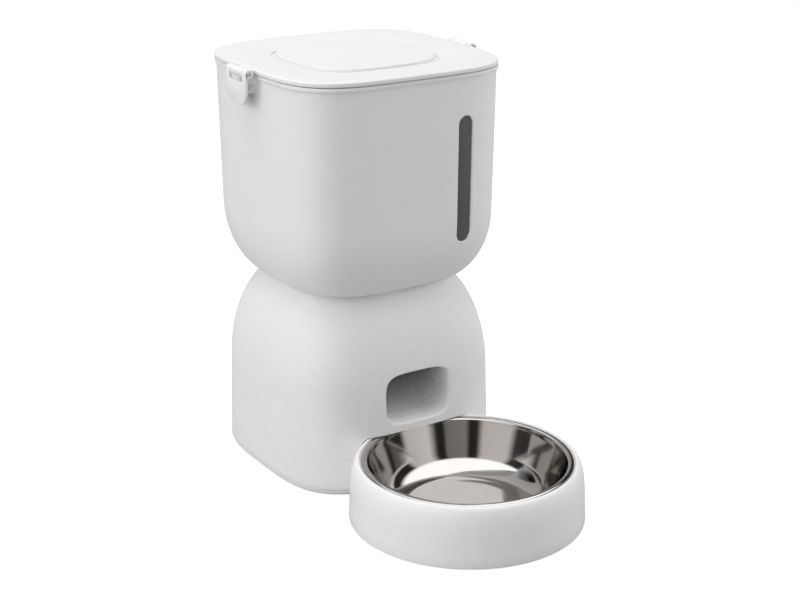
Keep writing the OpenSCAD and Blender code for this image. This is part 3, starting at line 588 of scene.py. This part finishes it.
def hopper_rows(inset):
    floor_z = LOW_Z + inset
    rows = [(floor_z + rise, hopper_half_at(floor_z + rise) - inset - (tuck if inset == 0 else 0))
            for rise, tuck in LIP_ROWS]
    reach = HOPPER_SHOULDER[1]
    turns = [math.asin((HOPPER_SHOULDER_Z - z) / reach) for z in (floor_z + 1.2, WINDOW_ROWS_Z[0])]
    heights = [HOPPER_SHOULDER_Z - reach * math.sin(turns[0] + (turns[1] - turns[0]) * k / SHOULDER_ROWS)
               for k in range(SHOULDER_ROWS)]
    heights += spaced(*WINDOW_ROWS_Z, WINDOW_ROWS)
    heights += spaced(WINDOW_ROWS_Z[1], HIGH_Z, 3)
    rows += [(z, hopper_half_at(z) - inset) for z in heights]
    for rise, out in BEAD_ROWS:
        z = HOPPER_TOP_Z + rise
        rows.append((z, hopper_half_at(z) - inset + (out * RIM_BEAD if inset == 0 else 0)))
    return rows


def window_opening():
    first_row = len(LIP_ROWS) + SHOULDER_ROWS
    return Opening(-1, (WINDOW_X, WINDOW_Z), WINDOW_HALF, None, (34, 46),
                   (first_row, first_row + WINDOW_ROWS), even_edge(WINDOW_EDGE), lip=0)


def hopper_skin(inset, hole):
    rows = hopper_rows(inset)
    grid = np.array([at_height(unit_ring(hopper_corner_at(z), HOPPER_FRONT, FRONT, HOPPER_REST) * half, z)
                     for z, half in rows])
    points = [tuple(p) for p in grid.reshape(-1, 3)]
    faces = wall_faces(len(rows), HOPPER_WIDE, [(hole.columns, hole.rows)])
    bridge_opening(grid, hole, HOPPER_WALL, inset, points, faces)
    floor = [grid[0]] + plate_rings(grid[0], FLOOR_HOLE_R, rows[0][0], PLATE_STEPS)
    faces += [tuple(reversed(f)) for f in run_faces(len(points), HOPPER_WIDE, len(floor))]
    points += [tuple(p) for ring in floor for p in ring]
    return points, faces


def catch_rib(side):
    """The rib on the hopper's side wall that a latch hooks under."""
    z = latch_low.z + RIB_RISE
    out, root = HOPPER_HALF + 4.8, HOPPER_HALF - 1
    profile = [(root, z), (out - 0.4, z), (out, z + 0.4), (out, z + 1.2), (out - 0.5, z + 1.7),
               (root + 1.6, z + 4.6), (root, z + 6.4)]
    return loft([[(side * x, y, h) for x, h in profile] for y in (-RIB_HALF, RIB_HALF)])


def window_lens_points():
    """A strip that follows the hopper's front, set back from it, with bevelled edges."""
    steps = 24
    a, b = WINDOW_HALF[0] - LENS_GAP, WINDOW_HALF[1] - LENS_GAP
    outline = [(x, z + (b - a)) for x, z in arc((0, 0), a, 0, 180, steps)]
    outline += [(x, z - (b - a)) for x, z in arc((0, 0), a, 180, 360, steps)]
    rings = []
    for shrink, depth in LENS_RINGS:
        ring = []
        for x, z in outline:
            cz = max(-(b - a), min(b - a, z))
            length = math.hypot(x, z - cz)
            scale = (length - shrink) / length
            px, pz = WINDOW_X + x * scale, WINDOW_Z + cz + (z - cz) * scale
            ring.append((px, HOPPER_WALL.y(px, pz, -1) + depth, pz))
        rings.append(ring)
    return rings


def strip_cap(rings):
    """A closed solid from rings of a long slot, its two faces filled across the slot's width."""
    points, faces = loft(rings, cap_ends=False)
    count = len(rings[0])
    half = count // 2
    for first in (0, (len(rings) - 1) * count):
        for i in range(half - 1):
            faces.append((first + i, first + i + 1, first + count - 2 - i, first + count - 1 - i))
    return points, faces


def funnel_rings():
    """A round collar that flares into the hopper's square section, outside up and inside down."""
    low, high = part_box("hopper_funnel")
    low, high = low / MM, high / MM
    lip, rise = 2.4, 0.6
    circle = unit_arc(2, 0, 2 * math.pi, 160)
    square = unit_arc(hopper_corner_at(high.z), 0, 2 * math.pi, 160)

    def ring(f, inset, z):
        blend = min(1, 1.5 * f)
        half = (COLLAR_R + (high.x - COLLAR_R) * f) - inset
        return at_height((circle * (1 - blend) + square * blend) * half, z)

    flare_z = LOW_Z + 4
    climb = high.z - rise - flare_z
    steps = 16
    fractions = [k / steps for k in range(steps + 1)]
    outer = [ring(0, 0, low.z)] + [ring(f, 0, flare_z + climb * f) for f in fractions]
    inner = [ring(f, lip, flare_z + rise + climb * f) for f in reversed(fractions)]
    inner.append(ring(0, lip, low.z))
    return outer + inner


def hopper_pieces():
    hole = window_opening()
    outer, faces = hopper_skin(0, hole)
    inner, _ = hopper_skin(WALL, hole)
    points, faces = close_shell(outer, inner, faces)
    shell = add_piece("hopper_moulding", points, faces, "hopper", "smooth_shell")
    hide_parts("hopper_shell")
    for side, name in ((-1, "left"), (1, "right")):
        points, faces = catch_rib(side)
        add_piece(f"catch_rib_{name}", points, faces, "hopper", "smooth_shell", sharp=25)
    rings = funnel_rings()
    points, faces = loft(rings + rings[:1], cap_ends=False)
    funnel = add_piece("funnel_moulding", points, faces, "hopper", "inner_plastic")
    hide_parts("hopper_funnel")
    points, faces = strip_cap(window_lens_points())
    lens = add_piece("level_window", points, faces, "hopper", "smoked_window")
    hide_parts("window_lens")


# ---------- Lid ----------

LID_HALF = lid_high.y
LID_TOP = 310.0
LID_EDGE_H = 3.6
SKIRT_HALF = 82.3
PAD_HALF = 51.7
PAD_GROOVE = 3.0                # depth of the gap around the lid's raised pad
BARREL_R = 3.3
PIN_R = 1.45
KNUCKLE_HALF = 9
KNUCKLE_GAP = 0.4
LID_FLAT = 3.2                  # the lid's top is level this far in, then dips towards the pad
LID_DIP = 1.75
LID_POINTS = 208                # round a section of the lid
FLAP_T = 2.0
CATCH_DROP = 17.3               # of the latch's hook below its hinge
hinge_right = Vector(joints["latch_right_swing"]["pos_m"]) / MM


def lid_profile():
    """Half width, height and corner power of each ring, from the underside over the edge to the pad."""
    under = LID_TOP - LID_EDGE_H
    skirt_z = lid_low.z
    groove = PAD_HALF + 1.1
    rows = [(5, under), (40, under), (SKIRT_HALF - 2.3, under)]
    rows += [(SKIRT_HALF - 2, under - 0.3), (SKIRT_HALF - 2, skirt_z + 0.3), (SKIRT_HALF - 1.7, skirt_z)]
    rows += [(SKIRT_HALF - 0.3, skirt_z), (SKIRT_HALF, skirt_z + 0.3), (SKIRT_HALF, under - 0.3)]
    rows += [(SKIRT_HALF + 0.3, under), (LID_HALF - 0.7, under), (LID_HALF - 0.2, under + 0.25)]
    rows += arc((LID_HALF - 1.5, LID_TOP - 1.5), 1.5, 0, 90, 6)
    for k in range(1, 17):
        f = k / 16
        half = LID_HALF - LID_FLAT + (groove - LID_HALF + LID_FLAT) * f
        rows.append((half, LID_TOP - LID_DIP * f ** 2.5))
    rows += [(PAD_HALF + 0.95, LID_TOP - 2.0), (PAD_HALF + 0.9, LID_TOP - PAD_GROOVE)]
    pad = [(PAD_HALF, LID_TOP - PAD_GROOVE), (PAD_HALF, LID_TOP - 1.2)]
    pad += arc((PAD_HALF - 0.35, LID_TOP - 0.35), 0.35, 0, 90, 5)
    pad += [(46, LID_TOP), (30, LID_TOP), (12, LID_TOP)]
    return [(*row, LID_CORNER) for row in rows] + [(*row, PAD_CORNER) for row in pad]


def tube_along_y(centre, radius, bore, low_y, high_y, chamfer, count=48):
    """A barrel along Y with softened ends, bored right through."""
    profile = [(bore, low_y), (radius - chamfer, low_y), (radius, low_y + chamfer),
               (radius, high_y - chamfer), (radius - chamfer, high_y), (bore, high_y)]
    return turned(profile, count, lambda u, v, y: (centre.x + u, y, centre.z + v))


def rounded_slab(outline, low_x, high_x, soften):
    """A slab across X from a (y, z) outline, its edges softened on both faces."""
    loop = np.array(outline)
    normals = outward_normals(loop)
    rings = []
    for shrink, x in ((soften, low_x), (0.3 * soften, low_x + 0.3 * soften), (0, low_x + soften),
                      (0, high_x - soften), (0.3 * soften, high_x - 0.3 * soften), (soften, high_x)):
        flat = loop - normals * shrink
        rings.append([(x, y, z) for y, z in flat])
    points, faces = loft(rings, cap_ends=False)
    count = len(outline)
    faces.append(tuple(range(count)))
    faces.append(tuple(range((len(rings) - 1) * count, len(rings) * count)))
    return points, faces


def box_points(low, high, soften=0.25):
    """A block with softened upright and level edges."""
    y0, z0, y1, z1 = low[1], low[2], high[1], high[2]
    outline = []
    for (cy, cz), start in (((y1 - soften, z0 + soften), -90), ((y1 - soften, z1 - soften), 0),
                            ((y0 + soften, z1 - soften), 90), ((y0 + soften, z0 + soften), 180)):
        outline += arc((cy, cz), soften, start, start + 90, 2)
    return rounded_slab(outline, low[0], high[0], soften)


def join_parts(parts):
    """Several closed solids as one list of points and faces."""
    points, faces = [], []
    for part_points, part_faces in parts:
        shift = len(points)
        points += list(part_points)
        faces += [tuple(v + shift for v in f) for f in part_faces]
    return points, faces


def lid_pieces():
    rings = [at_height(unit_arc(corner, 0, 2 * math.pi, LID_POINTS) * half, z)
             for half, z, corner in lid_profile()]
    parts = [loft(rings)]
    for side in (-1, 1):
        hinge = Vector((side * hinge_right.x, 0, hinge_right.z))
        parts.append(tube_along_y(hinge, BARREL_R, PIN_R + 0.05, -KNUCKLE_HALF, KNUCKLE_HALF, 0.35))
        inner, outer = sorted((side * (LID_HALF - 1.5), side * (hinge.x * side - PIN_R - 0.4)))
        parts.append(box_points((inner, -KNUCKLE_HALF, hinge.z - 0.6),
                                (outer, KNUCKLE_HALF, hinge.z + 1.6)))
    points, faces = join_parts(parts)
    lid = add_piece("lid_moulding", points, faces, "lid", "smooth_shell")
    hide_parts("lid_shell")


def flap_outline():
    """The latch flap seen from its side of the feeder: round lower corners, a notch for the knuckle."""
    half, low, corner = latch_high.y, latch_low.z, 12.0
    notch, notch_z = KNUCKLE_HALF + KNUCKLE_GAP, hinge_right.z - 6
    top = hinge_right.z + 0.5
    outline = [(-half, top), (-half, low + corner)]
    outline += arc((-half + corner, low + corner), corner, 180, 270, 14)[1:]
    outline += arc((half - corner, low + corner), corner, 270, 360, 14)
    outline += [(half, top), (notch, top), (notch, notch_z + 0.8)]
    outline += arc((notch - 0.8, notch_z + 0.8), 0.8, 0, -90, 4)[1:]
    outline += arc((-notch + 0.8, notch_z + 0.8), 0.8, -90, -180, 4)
    outline += [(-notch, top)]
    return outline


def latch_piece(side, name):
    """A latch: its flap, the two barrels on the pin, the hook under the catch rib and its webs."""
    hinge = Vector((hinge_right.x, 0, hinge_right.z))
    outer_x, half = latch_high.x, latch_high.y
    catch_z = hinge.z - CATCH_DROP
    inner_x = HOPPER_HALF + 2.9
    parts = [rounded_slab(flap_outline(), outer_x - FLAP_T, outer_x, 0.45)]
    barrel_start = KNUCKLE_HALF + KNUCKLE_GAP
    for low_y, high_y in ((-half, -barrel_start), (barrel_start, half)):
        parts.append(tube_along_y(hinge, BARREL_R, PIN_R + 0.05, low_y, high_y, 0.4))
    parts.append(box_points((inner_x, -7, catch_z - 4), (outer_x - 1, 7, catch_z - 1.6)))
    parts.append(box_points((inner_x, -7, catch_z - 2.5), (outer_x - 4, 7, catch_z - 0.5)))
    for y in (-6, 6):
        parts.append(box_points((HOPPER_HALF + 5, y - 0.8, catch_z - 5),
                                (outer_x - 1, y + 0.8, catch_z - 2)))
    points, faces = join_parts(parts)
    points = [(side * x, y, z) for x, y, z in points]
    flap = add_piece(f"{name}_flap", points, faces, name, "smooth_shell", sharp=40)
    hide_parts(name)


# ---------- Bowl ----------

def stand_profile():
    side_z, low_z = STAND_SIDE_Z, stand_low.z
    stand_r, crown_r, crown_z = STAND_R, CROWN_R, stand_high.z
    rim_r, rim_z = bowl_high.x, bowl_high.z
    side_r, rise = stand_r - 0.9, crown_z - side_z
    lip_r, shelf_r, shelf_z = rim_r + 0.9, rim_r - 2.4, rim_z - 1.9
    outer = arc((crown_r, side_z), (side_r - crown_r, rise), 0, 90, 24)
    inner = arc((crown_r, side_z), (side_r - 2.4 - crown_r, rise - 2.2), 84, 0, 12)
    return ([(stand_r - 1.6, low_z), (stand_r - 0.7, low_z + 0.15), (stand_r - 0.15, low_z + 0.6),
             (stand_r, low_z + 1.3), (stand_r - 0.45, 11)] + outer
            + [(lip_r + 0.6, crown_z - 0.1), (lip_r + 0.15, crown_z - 0.5), (lip_r, crown_z - 1.1),
               (lip_r, shelf_z), (shelf_r + 2, shelf_z), (shelf_r + 2, shelf_z - 2.2)]
            + inner
            + [(stand_r - 2.6, low_z + 3), (stand_r - 16, low_z + 3), (stand_r - 16, low_z)])


def bowl_profile():
    """The spun bowl: flat floor, round corner, straight sloping wall and a rolled rim."""
    t, floor_z = 0.8, bowl_low.z + 0.8
    rim_r, rim_z = bowl_high.x, bowl_high.z
    top = np.array((rim_r - 4.9, rim_z - 1.6))

    def wall(grow):
        turn = arc((BOWL_FLOOR_R, floor_z + BOWL_CORNER), BOWL_CORNER + grow, -90, -BOWL_SLOPE, 28)
        last = np.array(turn[-1])
        edge = top + (grow, -1.0)
        return turn + [tuple(last + (edge - last) * f) for f in (0.03, 0.3, 0.6, 0.9, 1)]

    roll = [(rim_r - 4.8, rim_z - 1.5), (rim_r - 4.3, rim_z - 0.6), (rim_r - 3.4, rim_z - 0.15),
            (rim_r - 2.3, rim_z), (rim_r - 1.2, rim_z - 0.05), (rim_r - 0.5, rim_z - 0.3),
            (rim_r - 0.1, rim_z - 0.8), (rim_r, rim_z - 1.3), (rim_r - 0.3, rim_z - 1.75),
            (rim_r - 0.9, rim_z - 1.6), (rim_r - 1.1, rim_z - 1.0), (rim_r - 2.6, rim_z - 0.9),
            (rim_r - 3.7, rim_z - 1.2)]
    inside, outside = wall(0), wall(t)
    pinch = 0.4
    flat_r = BOWL_FLOOR_R - 2
    return ([(pinch, floor_z), (20, floor_z), (flat_r, floor_z)] + inside + roll
            + list(reversed(outside)) + [(flat_r, floor_z - t), (20, floor_z - t), (pinch, floor_z - t)])


def bowl_pieces():
    centre = (0, BOWL_Y)
    points, faces = turned_upright(stand_profile(), centre)
    stand = add_piece("stand_ring", points, faces, "bowl_stand", "stand_gloss", sharp=50)
    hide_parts("bowl_stand")
    points, faces = turned_upright(bowl_profile(), centre)
    bowl = add_piece("spun_bowl", points, faces, "bowl_stand", "polished_steel", sharp=60)
    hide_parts("steel_bowl")


# ---------- Materials ----------

STEEL_DARK = (0.48, 0.465, 0.455)
STEEL_LIGHT = (0.56, 0.545, 0.53)


def new_material(name):
    material = bpy.data.materials.new(name)
    material.use_nodes = True
    nodes = material.node_tree.nodes
    return material, nodes, material.node_tree.links, nodes["Principled BSDF"]


def noise(nodes, links, scale, detail, coordinates):
    node = nodes.new("ShaderNodeTexNoise")
    node.inputs["Scale"].default_value = scale
    node.inputs["Detail"].default_value = detail
    links.new(coordinates, node.inputs["Vector"])
    return node.outputs["Fac"]


def ramp(nodes, links, value, low, high, start=0.0, end=1.0):
    node = nodes.new("ShaderNodeMapRange")
    node.inputs["From Min"].default_value = start
    node.inputs["From Max"].default_value = end
    node.inputs["To Min"].default_value = low
    node.inputs["To Max"].default_value = high
    links.new(value, node.inputs["Value"])
    return node.outputs["Result"]


def tinted(nodes, links, value, dark, light):
    node = nodes.new("ShaderNodeMix")
    node.data_type = "RGBA"
    node.inputs["A"].default_value = (*dark, 1)
    node.inputs["B"].default_value = (*light, 1)
    links.new(value, node.inputs["Factor"])
    return node.outputs["Result"]


def bumped(nodes, links, shader, height, strength, distance):
    node = nodes.new("ShaderNodeBump")
    node.inputs["Strength"].default_value = strength
    node.inputs["Distance"].default_value = distance
    links.new(height, node.inputs["Height"])
    links.new(node.outputs["Normal"], shader.inputs["Normal"])


def moulded(name, colour, roughness, grain_scale, grain, speckle, mottle=0.012, depth=None):
    """Moulded plastic: a fine grain in the surface, and a faint mottle in its colour and sheen.

    Depth paints shade into the colour, darker along Y: the metres where it starts and ends, and the share left
    there.
    """
    material, nodes, links, shader = new_material(name)
    place = nodes.new("ShaderNodeTexCoord").outputs["Object"]
    fine = noise(nodes, links, grain_scale, 3, place)
    broad = noise(nodes, links, 30, 2, place)
    both = nodes.new("ShaderNodeMix")
    both.inputs["Factor"].default_value = 0.35
    links.new(ramp(nodes, links, fine, 0, 1, 0.35, 0.65), both.inputs["A"])
    links.new(broad, both.inputs["B"])
    spread = speckle + mottle
    dark = tuple(c * (1 - spread) for c in colour)
    light = tuple(min(1, c * (1 + spread)) for c in colour)
    tint = tinted(nodes, links, both.outputs["Result"], dark, light)
    if depth:
        split = nodes.new("ShaderNodeSeparateXYZ")
        links.new(place, split.inputs[0])
        start, end, left = depth
        # painted shade: the colour darkens along Y, standing in for the shade inside a recess
        painted_shade_ramp = ramp(nodes, links, split.outputs["Y"], 1, left, start, end)
        shade = nodes.new("ShaderNodeVectorMath")
        shade.operation = "SCALE"
        links.new(tint, shade.inputs[0])
        links.new(painted_shade_ramp, shade.inputs["Scale"])
        tint = shade.outputs[0]
    links.new(tint, shader.inputs["Base Color"])
    links.new(ramp(nodes, links, broad, roughness - 0.04, roughness + 0.04), shader.inputs["Roughness"])
    shader.inputs["IOR"].default_value = 1.46
    bumped(nodes, links, shader, fine, grain, 0.0003)
    return material


def polished_steel(name):
    """Mirror-polished stainless steel with faint lines from spinning and buffing."""
    material, nodes, links, shader = new_material(name)
    place = nodes.new("ShaderNodeTexCoord").outputs["Object"]
    stretch = nodes.new("ShaderNodeMapping")
    stretch.inputs["Scale"].default_value = (1, 1, 14)
    links.new(place, stretch.inputs["Vector"])
    lines = noise(nodes, links, 260, 2, stretch.outputs["Vector"])
    broad = noise(nodes, links, 22, 2, place)
    shader.inputs["Metallic"].default_value = 1.0
    links.new(tinted(nodes, links, broad, STEEL_DARK, STEEL_LIGHT), shader.inputs["Base Color"])
    links.new(ramp(nodes, links, lines, 0.045, 0.13), shader.inputs["Roughness"])
    bumped(nodes, links, shader, lines, 0.02, 0.0002)
    return material


def metal(name, colour, roughness):
    material, nodes, links, shader = new_material(name)
    place = nodes.new("ShaderNodeTexCoord").outputs["Object"]
    fine = noise(nodes, links, 900, 3, place)
    shader.inputs["Metallic"].default_value = 1.0
    dark = tuple(c * 0.92 for c in colour)
    links.new(tinted(nodes, links, fine, dark, colour), shader.inputs["Base Color"])
    links.new(ramp(nodes, links, fine, roughness - 0.08, roughness + 0.08), shader.inputs["Roughness"])
    bumped(nodes, links, shader, fine, 0.1, 0.0001)
    return material


# ---------- Stage ----------

SKY_GROWTH = (-0.27, 0.0, 0.1)     # how the soft light grows along X, Y and Z
SKY_MEAN = 0.38
LAMP_TARGET = (0, 0, 0.15)
LIGHTS = {                         # name: position, size and power
    "left": ((-1.6, 0.25, 0.7), (1.2, 1.2), 8.7),
    "left_front": ((-1.3, -1.1, 0.6), (0.8, 0.8), 2.2),
    "right": ((1.5, -0.5, 0.5), (1.2, 1.2), 13.2),
    "top": ((-0.1, 0.0, 1.8), (1.4, 1.4), 13.0),
}
STRIPS = (      # what mirrors see around the room: turns from the back by the left, and brightness
    (0.0, 0.5), (0.03, 0.5), (0.05, 0.1), (0.1, 0.1), (0.13, 0.7), (0.165, 0.7), (0.18, 0.04),
    (0.235, 0.06), (0.26, 0.85), (0.35, 0.8), (0.37, 0.03), (0.395, 0.02), (0.41, 0.3),
    (0.475, 0.25), (0.485, 0.02), (0.51, 0.03), (0.54, 0.95), (0.62, 0.8), (0.64, 0.03),
    (0.88, 0.03), (0.92, 0.5),
)
STRIP_TINT = (1, 0.96, 0.93)
CEILING = 1.9                      # its brightness
CEILING_EDGE = (0.55, 0.68)        # from strips to ceiling, as the upward share of a direction
FLOOR_GREY = 0.42
FLOOR_GLOW = 0.86                  # towards the camera only
FLOOR_HALF = 6.0
EYE = (-0.62335, -1.03552, 0.54286)
TARGET = (0.02784, -0.01781, 0.11911)
LENS, SENSOR = 74.98, 36


def math_node(nodes, links, operation, *values):
    """The result of a math node whose inputs are numbers or other nodes' outputs."""
    node = nodes.new("ShaderNodeMath")
    node.operation = operation
    for socket, value in zip(node.inputs, values):
        if isinstance(value, (int, float)):
            socket.default_value = value
        else:
            links.new(value, socket)
    return node.outputs[0]


def soft_sky(nodes, links, split):
    """Soft light that grows from one side of the room to the other."""
    total = SKY_MEAN
    for axis, weight in zip("XYZ", SKY_GROWTH):
        total = math_node(nodes, links, "MULTIPLY_ADD", split.outputs[axis], weight, total)
    soft = nodes.new("ShaderNodeBackground")
    soft.inputs["Color"].default_value = (1, 1, 1, 1)
    links.new(total, soft.inputs["Strength"])
    return soft


def mirrored_room(nodes, links, split):
    """Tall strips around the room under a bright ceiling, seen only in reflections."""
    back = math_node(nodes, links, "MULTIPLY", split.outputs["Y"], -1.0)
    angle = math_node(nodes, links, "ARCTAN2", split.outputs["X"], back)
    heading = math_node(nodes, links, "MULTIPLY_ADD", angle, 0.5 / math.pi, 0.5)
    strips = nodes.new("ShaderNodeValToRGB")
    stops = strips.color_ramp.elements
    while len(stops) < len(STRIPS):
        stops.new(1.0)
    for stop, (place, bright) in zip(stops, STRIPS):
        stop.position = place
        stop.color = (*(bright * tint for tint in STRIP_TINT), 1)
    links.new(heading, strips.inputs["Fac"])
    height = nodes.new("ShaderNodeMapRange")
    height.interpolation_type = "SMOOTHSTEP"
    height.inputs["From Min"].default_value = CEILING_EDGE[0]
    height.inputs["From Max"].default_value = CEILING_EDGE[1]
    links.new(split.outputs["Z"], height.inputs["Value"])
    room = nodes.new("ShaderNodeMix")
    room.data_type = "RGBA"
    room.inputs["B"].default_value = (CEILING, CEILING, CEILING, 1)
    links.new(height.outputs["Result"], room.inputs["Factor"])
    links.new(strips.outputs["Color"], room.inputs["A"])
    mirrored = nodes.new("ShaderNodeBackground")
    links.new(room.outputs["Result"], mirrored.inputs["Color"])
    return mirrored


def studio():
    """The world: soft light on the object, the strips in its reflections, white behind it."""
    scene = bpy.context.scene
    scene.view_settings.view_transform = "Standard"
    scene.view_settings.look = "None"
    world = bpy.data.worlds.new("studio")
    scene.world = world
    world.use_nodes = True
    nodes, links = world.node_tree.nodes, world.node_tree.links
    nodes.clear()
    out = nodes.new("ShaderNodeOutputWorld")
    white = nodes.new("ShaderNodeBackground")
    white.inputs["Color"].default_value = (1, 1, 1, 1)
    direction = nodes.new("ShaderNodeTexCoord").outputs["Generated"]
    split = nodes.new("ShaderNodeSeparateXYZ")
    links.new(direction, split.inputs[0])
    path = nodes.new("ShaderNodeLightPath")
    shader = soft_sky(nodes, links, split).outputs[0]
    for kind, seen in (("Is Glossy Ray", mirrored_room(nodes, links, split)), ("Is Camera Ray", white)):
        mix = nodes.new("ShaderNodeMixShader")
        links.new(path.outputs[kind], mix.inputs["Fac"])
        links.new(shader, mix.inputs[1])
        links.new(seen.outputs[0], mix.inputs[2])
        shader = mix.outputs[0]
    links.new(shader, out.inputs["Surface"])


def area_light(name, position, size, power):
    """A rectangular lamp that faces the feeder; mirrors see the room's strips in its place."""
    light = bpy.data.lights.new(name, "AREA")
    light.shape = "RECTANGLE"
    light.size, light.size_y = size
    light.energy = power
    lamp = bpy.data.objects.new(name, light)
    lamp.location = position
    lamp.rotation_euler = (Vector(LAMP_TARGET) - Vector(position)).to_track_quat("-Z", "Y").to_euler()
    lamp.visible_glossy = False
    bpy.context.scene.collection.objects.link(lamp)


def pale_floor():
    """A white sweep that glows towards the camera, so that only contact shadows stay visible."""
    material, nodes, links, shader = new_material("pale_floor")
    shader.inputs["Roughness"].default_value = 0.9
    shader.inputs["Specular IOR Level"].default_value = 0.0
    shader.inputs["Base Color"].default_value = (FLOOR_GREY, FLOOR_GREY, FLOOR_GREY, 1)
    shader.inputs["Emission Color"].default_value = (1, 1, 1, 1)
    seen = nodes.new("ShaderNodeLightPath").outputs["Is Camera Ray"]
    links.new(ramp(nodes, links, seen, 0.0, FLOOR_GLOW), shader.inputs["Emission Strength"])
    mesh = bpy.data.meshes.new("floor")
    corners = [(x * FLOOR_HALF, y * FLOOR_HALF, 0) for x, y in ((-1, -1), (1, -1), (1, 1), (-1, 1))]
    mesh.from_pydata(corners, [], [(0, 1, 2, 3)])
    mesh.materials.append(material)
    floor = bpy.data.objects.new("floor", mesh)
    bpy.context.scene.collection.objects.link(floor)


def camera():
    data = bpy.data.cameras.new("camera")
    data.lens = LENS
    data.sensor_width = SENSOR
    data.clip_start, data.clip_end = 0.05, 20
    shot = bpy.data.objects.new("camera", data)
    shot.location = EYE
    shot.rotation_euler = (Vector(TARGET) - Vector(EYE)).to_track_quat("-Z", "Y").to_euler()
    bpy.context.scene.collection.objects.link(shot)
    bpy.context.scene.camera = shot


# ---------- Assembly ----------

PLASTICS = {        # slot: name, colour, roughness, grain scale, grain strength, speckle
    "smooth_shell": ("shell_plastic", (0.86, 0.86, 0.86), 0.5, 700, 0.05, 0.004),
    "textured_shell": ("grain_plastic", (0.86, 0.86, 0.86), 0.62, 1000, 0.6, 0.045),
    "stand_gloss": ("gloss_plastic", (0.9, 0.9, 0.9), 0.3, 400, 0.02, 0.003),
    "inner_plastic": ("inner_plastic", (0.76, 0.76, 0.76), 0.5, 600, 0.1, 0.01),
    "rotor_plastic": ("rotor_plastic", (0.4, 0.41, 0.43), 0.45, 600, 0.1, 0.02),
    "gear_plastic": ("gear_plastic", (0.8, 0.79, 0.73), 0.42, 600, 0.08, 0.01),
    "smoked_window": ("smoke_plastic", (0.1, 0.1, 0.1), 0.32, 500, 0.02, 0.02),
    "foot_rubber": ("foot_rubber", (0.1, 0.1, 0.1), 0.8, 900, 0.4, 0.05),
    "seal_rubber": ("seal_rubber", (0.62, 0.62, 0.62), 0.55, 500, 0.1, 0.01),
    "cell_jacket": ("cell_jacket", (0.05, 0.1, 0.22), 0.3, 300, 0.02, 0.02),
    "board_laminate": ("board_laminate", (0.03, 0.19, 0.08), 0.35, 500, 0.05, 0.06),
    "board_chips": ("chip_black", (0.03, 0.03, 0.03), 0.5, 700, 0.1, 0.05),
    "wire_jacket": ("wire_jacket", (0.5, 0.04, 0.03), 0.35, 400, 0.02, 0.02),
    "lens_clear": ("light_pipe", (0.72, 0.78, 0.72), 0.3, 300, 0.02, 0.01),
}
MATERIALS = {slot: moulded(*look) for slot, look in PLASTICS.items()}
MATERIALS["polished_steel"] = polished_steel("polished_steel")
MATERIALS["screw_steel"] = metal("screw_steel", (0.55, 0.55, 0.56), 0.35)
# painted shade: the chute's plastic darkens along Y into the duct, for the shade inside it
DUCT_PLASTIC_PAINTED_SHADE = moulded("duct_plastic_painted_shade", (0.84, 0.84, 0.84), 0.66, 750, 0.9, 0.2,
                       depth=(-0.08, -0.045, 0.3))

for part in frame["record"]["subparts"]:
    node = frame["nodes"][part["node"]]
    node.data.materials.clear()
    node.data.materials.append(MATERIALS[part["material_slot"]])

base_pieces()
hopper_pieces()
lid_pieces()
latch_piece(-1, "latch_left")
latch_piece(1, "latch_right")
bowl_pieces()

pale_floor()
studio()
for name, (position, size, power) in LIGHTS.items():
    area_light(name, position, size, power)
camera()
